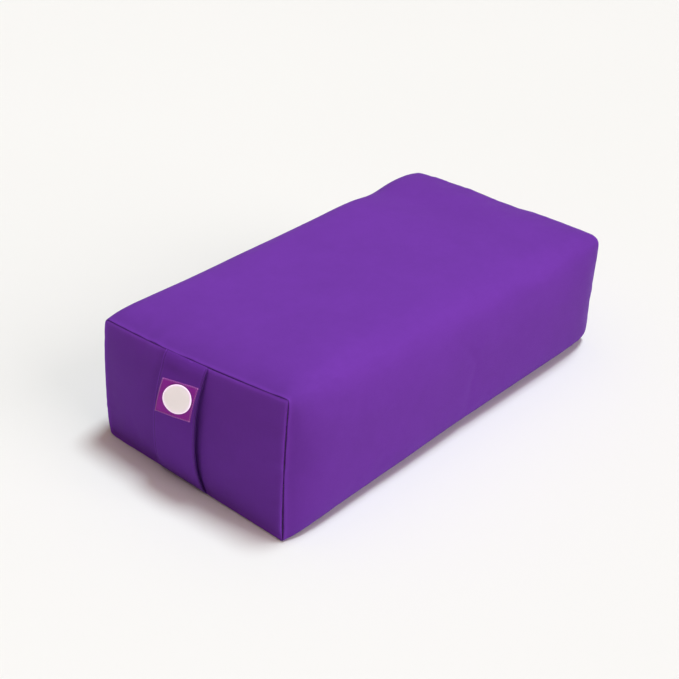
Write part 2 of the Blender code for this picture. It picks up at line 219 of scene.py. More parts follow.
def put_vectors(obj, name, values):
    at = obj.data.attributes.new(name, "FLOAT_VECTOR", "POINT")
    flat = np.zeros((len(obj.data.vertices), 3), np.float32)
    values = np.asarray(values, np.float32).reshape(len(flat), -1)
    flat[:, : values.shape[1]] = values
    at.data.foreach_set("vector", flat.ravel())


def put_floats(obj, name, values):
    at = obj.data.attributes.new(name, "FLOAT", "POINT")
    at.data.foreach_set("value", np.asarray(values, np.float32).ravel())


def sheet_object(name, points, cloth, painted_shade, mat, outward, close_u=False, painted_highlight=None):
    """A grid of points as a smooth sheet whose faces look along outward(points)."""
    nu, nv, _ = points.shape
    e0 = np.diff(points, axis=0)[:, : nv - 1]
    e1 = np.diff(points, axis=1)[: nu - 1]
    turn = (np.cross(e0, e1) * outward[: nu - 1, : nv - 1]).sum()
    obj = make_object(name, points.reshape(-1, 3), grid_faces(nu, nv, flip=turn < 0, close_u=close_u), mat)
    put_vectors(obj, "cloth", cloth)
    put_floats(obj, "painted_shade", painted_shade)
    if painted_highlight is not None:
        put_floats(obj, "painted_highlight", painted_highlight)
    return obj


def spaced(length, head, tail, step):
    """Places from 0 to length: the head's, the tail's counted from the far end, and even steps between."""
    head, tail = list(head), [length - q for q in reversed(list(tail))]
    n = max(1, round((tail[0] - head[-1]) / step))
    return head + [head[-1] + (tail[0] - head[-1]) * k / n for k in range(1, n)] + tail


# ---------------------------------------------------------------- materials
def nodes_of(name):
    mat = bpy.data.materials.new(name)
    mat.use_nodes = True
    tree = mat.node_tree
    shader = tree.nodes["Principled BSDF"]
    return mat, tree, shader


class Nodes:
    """Short names for the nodes that the materials share."""

    def __init__(self, tree):
        self.t = tree

    def new(self, kind, **sets):
        n = self.t.nodes.new(kind)
        for k, v in sets.items():
            setattr(n, k, v)
        return n

    def link(self, a, b):
        self.t.links.new(a, b)

    def put(self, socket, value):
        if isinstance(value, bpy.types.NodeSocket):
            self.link(value, socket)
        else:
            socket.default_value = value

    def math(self, op, a, b=None, c=None, clamp=False):
        n = self.new("ShaderNodeMath", operation=op, use_clamp=clamp)
        for i, v in enumerate((a, b, c)):
            if v is not None:
                self.put(n.inputs[i], v)
        return n.outputs[0]

    def attribute(self, name):
        return self.new("ShaderNodeAttribute", attribute_type="GEOMETRY", attribute_name=name)

    def object_coords(self):
        return self.new("ShaderNodeTexCoord").outputs["Object"]

    def split(self, vector):
        n = self.new("ShaderNodeSeparateXYZ")
        self.link(vector, n.inputs[0])
        return n.outputs

    def noise(self, vector, scale, detail=2.0, rough=0.5, stretch=None):
        if stretch:
            m = self.new("ShaderNodeMapping")
            m.inputs["Scale"].default_value = stretch
            self.link(vector, m.inputs["Vector"])
            vector = m.outputs[0]
        n = self.new("ShaderNodeTexNoise")
        self.link(vector, n.inputs["Vector"])
        n.inputs["Scale"].default_value = scale
        n.inputs["Detail"].default_value = detail
        n.inputs["Roughness"].default_value = rough
        return n.outputs["Fac"]

    def ramp(self, fac, stops):
        n = self.new("ShaderNodeValToRGB")
        r = n.color_ramp
        while len(r.elements) < len(stops):
            r.elements.new(0.5)
        for e, (pos, col) in zip(r.elements, stops):
            e.position = pos
            e.color = (*col, 1.0) if len(col) == 3 else col
        self.link(fac, n.inputs["Fac"])
        return n.outputs["Color"]

    def mix(self, fac, a, b, blend="MIX"):
        n = self.new("ShaderNodeMix", data_type="RGBA", blend_type=blend)
        self.put(n.inputs["Factor"], fac)
        for s, v in ((n.inputs["A"], a), (n.inputs["B"], b)) if False else ((n.inputs[6], a), (n.inputs[7], b)):
            if isinstance(v, tuple):
                v = (*v, 1.0) if len(v) == 3 else v
            self.put(s, v)
        return n.outputs[2]

    def bump(self, height, distance, strength=1.0, normal=None):
        n = self.new("ShaderNodeBump")
        n.inputs["Strength"].default_value = strength
        n.inputs["Distance"].default_value = distance
        self.link(height, n.inputs["Height"])
        if normal is not None:
            self.link(normal, n.inputs["Normal"])
        return n.outputs["Normal"]


def woven(name, base, pitch=0.00045, sheen=0.16, sheen_tint=(0.66, 0.50, 0.95), rough=0.88, mottle=0.03, thread=0.10, relief=0.00005, dark=0.22, twill=False, painted_shade=True):
    """Plain-woven cloth: two crossing sets of threads with slubs, uneven dye, painted shade and a painted highlight.

    It reads `cloth`, the cloth's own flat coordinates in metres, `painted_shade`, 1 where shade is painted deepest
    (down in a seam), and `painted_highlight`, 1 where a highlight is painted (on a seam lip or fold)."""
    mat, tree, shader = nodes_of(name)
    k = Nodes(tree)
    cloth = k.attribute("cloth").outputs["Vector"]
    u, v, _ = k.split(cloth)
    turn = 2 * math.pi / pitch
    # thread paths wander a little
    wander = k.noise(cloth, 90.0, 1.0)
    wander = k.math("MULTIPLY", k.math("SUBTRACT", wander, 0.5), 0.0006)
    uu, vv = k.math("ADD", u, wander), k.math("ADD", v, wander)
    if twill:
        uu = k.math("ADD", uu, k.math("MULTIPLY", vv, 1.0))
    su = k.math("SINE", k.math("MULTIPLY", uu, turn / 2))
    sv = k.math("SINE", k.math("MULTIPLY", vv, turn / 2))
    au, av = k.math("ABSOLUTE", su), k.math("ABSOLUTE", sv)
    over = k.math("ADD", k.math("MULTIPLY", k.math("MULTIPLY", su, sv), 2.0), 0.5, clamp=True)
    # where warp is over, the warp's roundness shows, and the weft's elsewhere
    warp_h = k.math("MULTIPLY", over, au)
    weft_h = k.math("MULTIPLY", k.math("SUBTRACT", 1.0, over), av)
    weave = k.math("ADD", warp_h, weft_h)
    # slubs: thick places along single threads
    slub_a = k.noise(cloth, 1.0, 2.0, 0.6, stretch=(2200.0, 60.0, 1.0))
    slub_b = k.noise(cloth, 1.0, 2.0, 0.6, stretch=(60.0, 2200.0, 1.0))
    slub = k.math("ADD", slub_a, slub_b)
    fuzz = k.noise(cloth, 5200.0, 2.0, 0.7)
    cloudy = k.noise(cloth, 14.0, 3.0, 0.55)
    patchy = k.noise(cloth, 60.0, 2.0, 0.5)
    r, g, b = base
    dye = k.math("ADD", k.math("MULTIPLY", cloudy, 0.65), k.math("MULTIPLY", patchy, 0.35))
    low = tuple(q * (1 - mottle) for q in base)
    high = tuple(min(1.0, q * (1 + mottle)) for q in base)
    colour = k.ramp(dye, [(0.36, low), (0.64, high)])
    threads = k.math("ADD", k.math("MULTIPLY", weave, thread), k.math("MULTIPLY", k.math("SUBTRACT", slub, 1.0), thread * 1.6))
    threads = k.math("ADD", threads, 1 - thread * 0.62)
    grey = k.new("ShaderNodeCombineColor")
    for i in range(3):
        k.link(threads, grey.inputs[i])
    colour = k.mix(1.0, colour, grey.outputs[0], "MULTIPLY")
    if painted_shade:
        # painted shade: darker down in seams and stitch grooves, under edges, and towards the wrap's end seams
        line = k.attribute("painted_shade").outputs["Fac"]
        colour = k.mix(line, colour, tuple(q * dark for q in base))
        # painted highlight: seam lips, folded edges and the end panels' upper part are made lighter
        colour = k.mix(k.attribute("painted_highlight").outputs["Fac"], colour, tuple(min(1.0, q * 1.5) for q in base))
    k.link(colour, shader.inputs["Base Color"])
    height = k.math("ADD", weave, k.math("MULTIPLY", slub, 0.9))
    height = k.math("ADD", height, k.math("MULTIPLY", fuzz, 0.25))
    fine = k.bump(height, relief, 1.0)
    broad = k.noise(cloth, 160.0, 3.0, 0.55)
    k.link(k.bump(broad, 0.00012, 1.0, fine), shader.inputs["Normal"])
    gloss = k.math("ADD", k.math("MULTIPLY", fuzz, 0.10), rough - 0.05)
    k.link(gloss, shader.inputs["Roughness"])
    shader.inputs["Specular IOR Level"].default_value = 0.12
    shader.inputs["Sheen Weight"].default_value = sheen
    shader.inputs["Sheen Roughness"].default_value = 0.30
    shader.inputs["Sheen Tint"].default_value = (*sheen_tint, 1.0)
    return mat


def thread_material(name, base, pitch=0.0006, rough=0.55):
    """Twisted sewing thread; `cloth` runs along it."""
    mat, tree, shader = nodes_of(name)
    k = Nodes(tree)
    cloth = k.attribute("cloth").outputs["Vector"]
    u, v, _ = k.split(cloth)
    twist = k.math("SINE", k.math("ADD", k.math("MULTIPLY", u, 2 * math.pi / pitch), k.math("MULTIPLY", v, 6.2832)))
    fine = k.noise(cloth, 3000.0, 2.0, 0.6)
    f = k.math("ADD", k.math("MULTIPLY", twist, 0.22), k.math("MULTIPLY", fine, 0.5))
    colour = k.ramp(k.math("ADD", f, 0.25), [(0.2, tuple(q * 0.72 for q in base)), (0.8, tuple(min(1.0, q * 1.18) for q in base))])
    k.link(colour, shader.inputs["Base Color"])
    k.link(k.bump(f, 0.00005), shader.inputs["Normal"])
    k.link(k.math("ADD", k.math("MULTIPLY", fine, 0.2), rough - 0.1), shader.inputs["Roughness"])
    shader.inputs["Sheen Weight"].default_value = 0.25
    shader.inputs["Sheen Roughness"].default_value = 0.4
    shader.inputs["Specular IOR Level"].default_value = 0.35
    return mat


PURPLE = (0.158, 0.0345, 0.373)
COVER = woven("cover_cloth", PURPLE)
STRAP_CLOTH = woven("strap_cloth", (0.152, 0.0300, 0.364), pitch=0.00045)
PURPLE_THREAD = thread_material("cover_thread", (0.130, 0.032, 0.300))

# ---------------------------------------------------------------- cloth simulation of the filled cover
NX, NZ, NV = 44, 24, 86
COARSE = {}


def coarse_points():
    """The closed coarse cover: a ring of points at each station, then the inner points of both ends."""
    ring = [(-1 + 2 * i / NX, -1.0) for i in range(NX)] + [(1.0, -1 + 2 * i / NZ) for i in range(NZ)]
    ring += [(1 - 2 * i / NX, 1.0) for i in range(NX)] + [(-1.0, 1 - 2 * i / NZ) for i in range(NZ)]
    ring = np.array(ring)
    V = np.linspace(-1, 1, NV + 1)
    wall = form(ring[:, 0][None, :], ring[:, 1][None, :], V[:, None])
    ui = np.linspace(-1, 1, NX + 1)[1:-1]
    wi = np.linspace(-1, 1, NZ + 1)[1:-1]
    ends = []
    for side in (-1, 1):
        e = form(ui[:, None], wi[None, :], float(side))
        e[..., 1] += side * END_CROWN * (1 - np.abs(ui[:, None]) ** 2.3) * (1 - np.abs(wi[None, :]) ** 2.3)
        ends.append(e)
    return ring, wall, ends


def simulate():
    """Fills the cover with pressure for 20 frames, and keeps how far each coarse point moved along its normal."""
    ring, wall, ends = coarse_points()
    n = len(ring)
    verts = np.concatenate([wall.reshape(-1, 3)] + [e.reshape(-1, 3) for e in ends])
    faces = []
    for j in range(NV):
        for i in range(n):
            i2 = (i + 1) % n
            faces.append((j * n + i, j * n + i2, (j + 1) * n + i2, (j + 1) * n + i))

    def ring_index(iu, iw):
        if iw == 0:
            return iu % n
        if iu == NX:
            return NX + iw
        if iw == NZ:
            return NX + NZ + (NX - iu)
        return (NX + NZ + NX + (NZ - iw)) % n

    for e in range(2):
        base = (NV + 1) * n + e * (NX - 1) * (NZ - 1)
        row = 0 if e == 0 else NV

        def at(iu, iw):
            if iu in (0, NX) or iw in (0, NZ):
                return row * n + ring_index(iu, iw)
            return base + (iu - 1) * (NZ - 1) + (iw - 1)

        for iu in range(NX):
            for iw in range(NZ):
                f = (at(iu, iw), at(iu + 1, iw), at(iu + 1, iw + 1), at(iu, iw + 1))
                faces.append(f if e == 0 else f[::-1])
    obj = make_object("cover_sim", verts, faces, COVER)
    bm = bmesh.new()
    bm.from_mesh(obj.data)
    bmesh.ops.recalc_face_normals(bm, faces=bm.faces)
    bm.to_mesh(obj.data)
    bm.free()
    normals = np.zeros(len(verts) * 3)
    obj.data.vertices.foreach_get("normal", normals)
    normals = normals.reshape(-1, 3)
    held = obj.vertex_groups.new(name="held")
    seam_rows = list(range(n)) + list(range(NV * n, (NV + 1) * n))
    held.add(seam_rows, 1.0, "REPLACE")
    low = [i for i in range(len(verts)) if verts[i][2] < 0.0012]
    held.add(low, 1.0, "REPLACE")
    zip_line = [i for i in range(len(verts)) if verts[i][0] < -0.14 and abs(verts[i][2] - ZIP_Z) < 0.010]
    held.add(zip_line, 1.0, "REPLACE")
    mod = obj.modifiers.new("Cloth", "CLOTH")
    c = mod.settings
    c.quality = 6
    c.mass = 0.3
    c.tension_stiffness = c.compression_stiffness = 18
    c.shear_stiffness = 8
    c.bending_stiffness = 0.35
    c.air_damping = 1.0
    c.use_pressure = True
    c.uniform_pressure_force = 4.0
    c.vertex_group_mass = "held"
    c.pin_stiffness = 2.0
    c.shrink_min = -0.012
    c.effector_weights.gravity = 0.0
    mod.collision_settings.use_collision = False
    mod.collision_settings.use_self_collision = False
    scene = bpy.context.scene
    scene.frame_start, scene.frame_end = 1, 20
    mod.point_cache.frame_start, mod.point_cache.frame_end = 1, 20
    for f in range(1, 21):
        scene.frame_set(f)
    graph = bpy.context.evaluated_depsgraph_get()
    moved = obj.evaluated_get(graph)
    co = np.zeros(len(verts) * 3)
    moved.data.vertices.foreach_get("co", co)
    delta = co.reshape(-1, 3) - verts
    scene.frame_set(1)
    bpy.data.objects.remove(obj, do_unlink=True)
    size = np.linalg.norm(delta, axis=1, keepdims=True)
    delta = delta * np.minimum(1.0, 0.012 / np.maximum(size, 1e-9))
    along = (delta * normals).sum(1)
    k = (NV + 1) * n
    COARSE["wrap"] = along[:k].reshape(NV + 1, n)
    m = (NX - 1) * (NZ - 1)
    for e in range(2):
        full = np.zeros((NX + 1, NZ + 1))
        full[1:-1, 1:-1] = along[k + e * m : k + (e + 1) * m].reshape(NX - 1, NZ - 1)
        COARSE["end%d" % e] = full
    print("simulated swell, mm: wrap %.2f..%.2f" % (COARSE["wrap"].min() * 1e3, COARSE["wrap"].max() * 1e3))


def blur(grid, sigma, axis, wrap=False):
    r = int(3 * sigma) + 1
    kernel = np.exp(-0.5 * (np.arange(-r, r + 1) / sigma) ** 2)
    kernel /= kernel.sum()
    pad = [(0, 0), (0, 0)]
    pad[axis] = (r, r)
    wide = np.pad(grid, pad, mode="wrap" if wrap else "edge")
    return sum(kernel[i] * np.take(wide, range(i, i + grid.shape[axis]), axis=axis) for i in range(2 * r + 1))


def detail_of(grid, sigma, wrap):
    """The folds that the simulation made, without its overall swell."""
    low = blur(blur(grid, sigma, 0), sigma, 1, wrap)
    fold = grid - low
    return np.clip(fold, -0.0014, 0.0014)


simulate()
FOLD_WRAP = detail_of(COARSE["wrap"], 4.0, True)
FOLD_END = [detail_of(COARSE["end%d" % e], 4.0, False) for e in range(2)]
SIM_SHARE = 0.4


def sim_on_wrap(x, z, V):
    """The simulated folds at rectangle place x, z and station V."""
    n = 2 * (NX + NZ)
    dx, dz = W / NX, H / NZ
    bottom = (x + A2) / dx
    right = NX + z / dz
    top = NX + NZ + (A2 - x) / dx
    left = 2 * NX + NZ + (H - z) / dz
    gap = np.stack([np.abs(z), np.abs(x - A2), np.abs(z - H), np.abs(x + A2)])
    which = gap.argmin(0)
    at = np.choose(which, [bottom, right, top, left])
    wide = np.concatenate([FOLD_WRAP[:, -4:], FOLD_WRAP, FOLD_WRAP[:, :4]], 1)
    return SIM_SHARE * sample(wide, (V + 1) / 2 * NV, at + 4)


def sim_on_end(e, U, Wp):
    return SIM_SHARE * sample(FOLD_END[e], (U + 1) / 2 * NX, (Wp + 1) / 2 * NZ)


# ---------------------------------------------------------------- seams
R = 0.0014
# strength of the highlight painted on the seam lips (wrap, end panels), and of the shade painted on the wrap near its
# end seams
LIP_PAINTED_HIGHLIGHT = 0.30
END_LIP_PAINTED_HIGHLIGHT = 0.85
END_SEAM_PAINTED_SHADE = 0.20
SEAM = [(0.8, 0.8), (0.42, 0.42), (0.26, 0.22), (0.34, 0.08), (0.6, -0.12), (1.0, -0.24), (1.5, -0.27), (2.2, -0.22), (3.0, -0.12), (4.2, -0.04)]
# painted shade down in the seam, row by row
GROOVE_PAINTED_SHADE = [1.0, 1.0, 1.0, 0.90, 0.46, 0.08, 0.0, 0.0, 0.0, 0.0]
NEAR = [(a * R, d * R) for a, d in SEAM] + [(0.0100, 0.0), (0.0130, 0.0), (0.0163, 0.0)]
NEAR_PAINTED_SHADE = GROOVE_PAINTED_SHADE + [0.0, 0.0, 0.0]


def seam_rows(length, step):
    """(distance from the first seam, depth, painted shade) across a panel with a seam at both ends."""
    mid_from, mid_to = NEAR[-1][0], length - NEAR[-1][0]
    n = round((mid_to - mid_from) / step)
    rows = [(a, d, s) for (a, d), s in zip(NEAR, NEAR_PAINTED_SHADE)]
    rows += [(mid_from + (mid_to - mid_from) * k / n, 0.0, 0.0) for k in range(1, n)]
    rows += [(length - a, d, s) for (a, d), s in zip(reversed(NEAR), reversed(NEAR_PAINTED_SHADE))]
    return np.array(rows)


def perimeter_arc(x, z):
    """Place along the wrap's rim, in metres from the middle of the zip down, under and round."""
    gap = np.stack([np.abs(z), np.abs(x - A2), np.abs(z - H), np.abs(x + A2)])
    which = gap.argmin(0)
    left = np.where(z < ZIP_Z, ZIP_Z - z, 2 * W + 2 * H + ZIP_Z - z)
    return np.choose(which, [ZIP_Z + x + A2, ZIP_Z + W + z, ZIP_Z + W + H + A2 - x, left])


RIGHT_SEAM = ZIP_Z + W  # arc at the foot of the +X side


def pucker(arc, dist, end):
    """Ripples that the stitching draws into the cloth beside an end seam."""
    seed = 31 + 7 * end
    fine = noise1(arc, 0.0038, seed) * 0.00020 * np.exp(-dist / 0.0080)
    broad = noise1(arc, 0.0075, seed + 1) * 0.00046 * np.exp(-dist / 0.018)
    wide = noise1(arc, 0.021, seed + 2) * 0.00042 * np.exp(-dist / 0.034)
    strong = 0.75 + 0.45 * noise1(arc, 0.06, seed + 3)
    strong = np.clip(strong, 0.25, 1.6)
    if end == 0:
        low = np.exp(-(((arc - RIGHT_SEAM - 0.050) / 0.045) ** 2))
        strong = strong + 1.1 * low
    fade = smooth((dist + 0.0002) / 0.0022)
    return (fine + broad + wide) * strong * fade


def undulate(u, v, seed, amount=1.0):
    return amount * (0.00040 * noise2(u, v, 0.085, seed) + 0.00014 * noise2(u, v, 0.036, seed + 1) + 0.00005 * noise2(u, v, 0.015, seed + 2))


# ---------------------------------------------------------------- cover: the wrap
CORNER = [0, 0.0009, 0.0019, 0.0032, 0.0050, 0.0075, 0.0110]
LIP = [0, 0.0007, 0.0014, 0.0020, 0.0026, 0.0033, 0.0044, 0.0060]
STEP = 0.0036


def wrap_columns():
    cols = []
    for p in spaced(ZIP_Z - SLIT, LIP, CORNER, STEP):
        cols.append((-A2, ZIP_Z - SLIT - p))
    for p in spaced(W, CORNER, CORNER, STEP)[1:]:
        cols.append((-A2 + p, 0.0))
    for p in spaced(H, CORNER, CORNER, STEP)[1:]:
        cols.append((A2, p))
    for p in spaced(W, CORNER, CORNER, STEP)[1:]:
        cols.append((A2 - p, H))
    for p in spaced(H - ZIP_Z - SLIT, CORNER, LIP, STEP)[1:]:
        cols.append((-A2, H - p))
    return np.array(cols)


def slit_half(y):
    """Half of the zip's opening at distance y from the middle: it closes beyond the zip's ends."""
    return 0.00002 + (SLIT - 0.00002) * (1 - smooth((np.abs(y) - 0.2865) / 0.0050))


def build_wrap():
    cols = wrap_columns()
    rows = seam_rows(L, 0.0035)
    x, z = cols[:, 0][:, None], cols[:, 1][:, None]
    along, depth, dark = rows[:, 0][None, :], rows[:, 1][None, :], rows[:, 2][None, :]
    V = along / L2 - 1
    pos = np.maximum(depth, 0)
    xi = np.clip(x, -A2 + pos, A2 - pos)
    zi = np.clip(z, pos, H - pos)
    base = form(xi / A2, zi / H2 - 1, V)
    # normals, from the smooth form
    U, Wp = x / A2, z / H2 - 1
    here = form(U, Wp, np.clip(V, -1, 1))
    dv = form(U, Wp, np.clip(V + 0.012, -1, 1)) - form(U, Wp, np.clip(V - 0.012, -1, 1))
    dc = np.gradient(here, axis=0)
    n = np.cross(dc, dv)
    n /= np.linalg.norm(n, axis=2, keepdims=True)
    centre = np.array([0, 0, H2])
    out = here - centre
    out[..., 1] = 0
    if (n * out).sum() < 0:
        n = -n
    arc = perimeter_arc(x, z) * np.ones_like(V)
    y = along - L2
    lift = np.maximum(-depth, 0) * np.ones_like(arc)
    lift = lift + pucker(arc, along, 0) + pucker(arc, L - along, 1)
    near_zip = np.where(x < 0, np.where(np.abs(x + A2) < 1e-6, np.abs(z - ZIP_Z), 1.0), 1.0)
    free = smooth((near_zip - 0.0085) / 0.030)
    lift = lift + undulate(arc, y + 0 * arc, 5) * free * smooth(np.minimum(along, L - along) / 0.050)
    lift = lift + sim_on_wrap(x + 0 * V, z + 0 * V, V + 0 * x) * free
    # the stitched lip beside the zip: sunk along the stitch line, full at the fold
    edge = np.clip(near_zip - SLIT, 0, 1)
    lip = -0.00028 * np.exp(-(((edge - 0.0026) / 0.0006) ** 2)) + 0.00012 * np.exp(-(((edge - 0.0011) / 0.0009) ** 2))
    ripple = 0.00012 * noise1(y, 0.0042, 77) * np.exp(-(((edge - 0.0045) / 0.004) ** 2))
    lift = lift + np.where(near_zip < 0.03, lip + ripple, 0.0)
    pts = base + n * lift[..., None]
    # the opening closes beyond the zip's ends
    pull = (SLIT - slit_half(y)) * np.exp(-edge / 0.006) * (near_zip < 0.05)
    pts[..., 2] += np.where(z < ZIP_Z, pull, -pull)
    pts[..., 2] = np.maximum(pts[..., 2], 0.0)
    cloth = np.stack([arc, y + 0 * arc], -1)
    # painted shade down in the seams, and a painted highlight on their lips
    painted_shade = dark + 0 * arc
    painted_highlight = LIP_PAINTED_HIGHLIGHT * np.maximum(-depth, 0) / (0.27 * R) + 0 * arc
    # painted shade in the stitch groove beside the zip
    groove = 0.55 * np.exp(-(((edge - 0.0026) / 0.0005) ** 2)) * (near_zip < 0.03)
    painted_shade = np.maximum(painted_shade, groove * np.ones_like(painted_shade))
    # painted shade: the wrap is darkened towards its end seams
    painted_shade = np.maximum(painted_shade, END_SEAM_PAINTED_SHADE * np.exp(-np.clip(np.minimum(along, L - along), 0, None) / 0.045) + 0 * arc)
    # folded edges of the opening
    r = 0.00062

    def fold(col, sign):
        edge_row = pts[col]
        made = []
        for ang in (35, 70, 105, 140, 180):
            q = edge_row.copy()
            a = math.radians(ang)
            q[:, 0] += r * (1 - math.cos(a))
            q[:, 2] += sign * r * math.sin(a)
            made.append(q)
        for back in (0.0018, 0.0045):
            q = edge_row.copy()
            q[:, 0] += 2 * r - 0.00004
            q[:, 2] -= sign * back
            made.append(q)
        return made

    # the outer face stops a fold's radius short of the edge
    pts[0, :, 2] -= r
    pts[-1, :, 2] += r
    low, high = fold(0, 1), fold(-1, -1)
    pts = np.concatenate([np.stack(low[::-1]), pts, np.stack(high)])
    lead = np.arange(len(low), 0, -1)[:, None] * 0.0006
    c0, c1 = cloth[:1], cloth[-1:]
    extra_low = np.concatenate([np.stack([c0[..., 0] - q, c0[..., 1]], -1) for q in lead.ravel()])
    extra_high = np.concatenate([np.stack([c1[..., 0] + q, c1[..., 1]], -1) for q in lead.ravel()[::-1]])
    cloth = np.concatenate([extra_low, cloth, extra_high])
    # painted shade on the folded edges of the opening, deepest on their turned-in backs
    shade = np.array([0.9, 0.9, 0.8, 0.5, 0.25, 0.1, 0.0])[:, None]
    painted_shade = np.concatenate([shade * np.ones((1, painted_shade.shape[1])), painted_shade, shade[::-1] * np.ones((1, painted_shade.shape[1]))])
    painted_highlight = np.concatenate([np.zeros((len(low), painted_highlight.shape[1])), painted_highlight, np.zeros((len(high), painted_highlight.shape[1]))])
    outward = pts - np.array([0, 0, H2])
    outward[..., 1] = 0
    # the folded backs would vote the wrong way, so only the outer face decides
    outward[: len(low)] = 0
    outward[-len(low) :] = 0
    obj = sheet_object("cover_wrap_cloth", pts, cloth, painted_shade, COVER, outward, painted_highlight=painted_highlight)
    return obj, pts


# ---------------------------------------------------------------- cover: the end panels
def end_surface(e, U, Wp):
    """The end panel's bulged face, without its seam detail. e is 0 at the front and 1 at the rear."""
    side = -1.0 if e == 0 else 1.0
    p = form(U, Wp, side)
    bulge = END_CROWN * np.clip(1 - np.abs(U) ** 2.3, 0, 1) * np.clip(1 - np.abs(Wp) ** 2.3, 0, 1)
    p[..., 1] += side * bulge
    return p


def build_end(e):
    side = -1.0 if e == 0 else 1.0
    cx, cz = seam_rows(W, 0.0036), seam_rows(H, 0.0036)
    x, z = cx[:, 0][:, None] - A2, cz[:, 0][None, :]
    dx, dz = cx[:, 1][:, None] + 0 * z, cz[:, 1][None, :] + 0 * x
    U, Wp = np.clip(x / A2, -1, 1) + 0 * z, np.clip(z / H2 - 1, -1, 1) + 0 * x
    pts = end_surface(e, U, Wp)
    depth = np.where(np.maximum(dx, dz) > 0, np.maximum(dx, dz), np.minimum(dx, dz))
    lift = -depth
    to_left, to_right = x + A2 + 0 * z, A2 - x + 0 * z
    to_foot, to_top = z + 0 * x, H - z + 0 * x
    zero = 0 * x + 0 * z
    lift = lift + pucker(perimeter_arc(zero - A2, zero + z), to_left, e) * smooth(to_foot / 0.01) * smooth(to_top / 0.01)
    lift = lift + pucker(perimeter_arc(zero + A2, zero + z), to_right, e) * smooth(to_foot / 0.01) * smooth(to_top / 0.01)
    lift = lift + pucker(perimeter_arc(zero + x, zero), to_foot, e) * smooth(to_left / 0.01) * smooth(to_right / 0.01)
    lift = lift + pucker(perimeter_arc(zero + x, zero + H), to_top, e) * smooth(to_left / 0.01) * smooth(to_right / 0.01)
    inside = smooth(np.minimum(np.minimum(to_left, to_right), np.minimum(to_foot, to_top)) / 0.04)
    lift = lift + undulate(x + zero, z + zero, 15 + 10 * e, 0.7) * inside
    lift = lift + sim_on_end(e, U, Wp) * inside
    pts[..., 1] += side * lift
    pts[..., 2] = np.maximum(pts[..., 2], 0.0)
    # painted shade down in the seams
    dark = np.maximum(cx[:, 2][:, None] + zero, cz[:, 2][None, :] + zero)
    cloth = np.stack([x + zero + 3.0 + e, z + zero], -1)
    outward = np.zeros_like(pts)
    outward[..., 1] = side
    # painted highlight: the end panel is lighter on its seam lips and towards its top and sides, most of all at the top
    lip = END_LIP_PAINTED_HIGHLIGHT * np.maximum(-depth, 0) / (0.27 * R)
    wide = 0.36 * np.exp(-np.clip(to_top, 0, None) / 0.022) + 0.15 * np.exp(-np.clip(np.minimum(to_left, to_right), 0, None) / 0.012)
    painted_highlight = np.clip(lip + wide * (1 - dark), 0, 1)
    return sheet_object(("end_panel_front_cloth", "end_panel_rear_cloth")[e], pts, cloth, dark, COVER, outward, painted_highlight=painted_highlight)


wrap, WRAP_POINTS = build_wrap()
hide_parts("cover_wrap")
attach(wrap, "cushion")
for e, node in enumerate(("end_panel_front", "end_panel_rear")):
    end = build_end(e)
    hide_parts(node)
    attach(end, "cushion")

# ---------------------------------------------------------------- carry strap
STRAP_T = 0.0020
Z_KEYS = [0.000, 0.011, 0.027, 0.047, 0.070, 0.091, 0.112, 0.131, 0.146, 0.160, 0.172]
LEFT_KEYS = [-0.0494, -0.0473, -0.0451, -0.0424, -0.0394, -0.0366, -0.0341, -0.0326, -0.0319, -0.0315, -0.0313]
RIGHT_KEYS = [0.0322, 0.0306, 0.0293, 0.0300, 0.0320, 0.0338, 0.0349, 0.0362, 0.0374, 0.0386, 0.0392]


def smooth_keys(z, keys):
    """A smooth line through the keys: linear between them, then averaged over 16 mm."""
    return sum(np.interp(z + o, Z_KEYS, keys) for o in np.linspace(-0.008, 0.008, 9)) / 9


def inverse_end(x, z):
    """U, Wp of the front seam's plane at x, z."""
    U, Wp = x / A2, z / H2 - 1
    for _ in range(5):
        p = form(U, Wp, -1.0)
        U = np.clip(U + (x - p[..., 0]) / A2, -1, 1)
        Wp = np.clip(Wp + (z - p[..., 2]) / H2, -1, 1)
    return U, Wp


RIM_X = np.linspace(-0.07, 0.06, 27)
RIM_TOP = form(RIM_X / A2, 1.0, -1.0)
RIM_FOOT = form(RIM_X / A2, -1.0, -1.0)


def rim_z(x, top):
    p = RIM_TOP if top else RIM_FOOT
    return np.interp(x, p[:, 0], p[:, 2])


def strap_out(z, top_z, foot_z):
    """How far the strap's outer face stands off the plane of the seams."""
    b = 2 * (z - foot_z) / (top_z - foot_z) - 1
    bow = 0.0035 + 0.0155 * np.clip(1 - b * b, 0, 1)
    ease = (1 - np.exp(-np.clip(top_z - z, 0, 1) / 0.0042)) * (1 - np.exp(-np.clip(z - foot_z, 0, 1) / 0.0042))
    return bow * ease + 0.0004


def strap_face(x, z, stand=0.0):
    """A point on the strap's outer face, `stand` proud of it."""
    x, z = np.broadcast_arrays(np.asarray(x, float), np.asarray(z, float))
    top_z, foot_z = rim_z(x, True), rim_z(x, False)
    U, Wp = inverse_end(x, z)
    y = form(U, Wp, -1.0)[..., 1]
    soft = 0.00045 * noise2(x, z, 0.026, 90) + 0.00012 * noise2(x, z, 0.011, 91)
    # the label stiffens the strap, which dips just above it
    dent = 0.0011 * np.exp(-(((x + 0.008) / 0.020) ** 2) - (((z - 0.1495) / 0.0065) ** 2))
    fade = smooth((top_z - z) / 0.02) * smooth((z - foot_z) / 0.02)
    out = strap_out(z, top_z, foot_z) + (soft - dent) * fade
    slope = (strap_out(z + 0.001, top_z, foot_z) - strap_out(z - 0.001, top_z, foot_z)) / 0.002
    n = np.stack([0 * z, -np.ones_like(z), -slope], -1)
    n /= np.linalg.norm(n, axis=-1, keepdims=True)
    return np.stack([x, y - out, z], -1) + n * np.asarray(stand)[..., None], n


STITCH_IN = 0.0030  # strap's topstitching, in from its edge


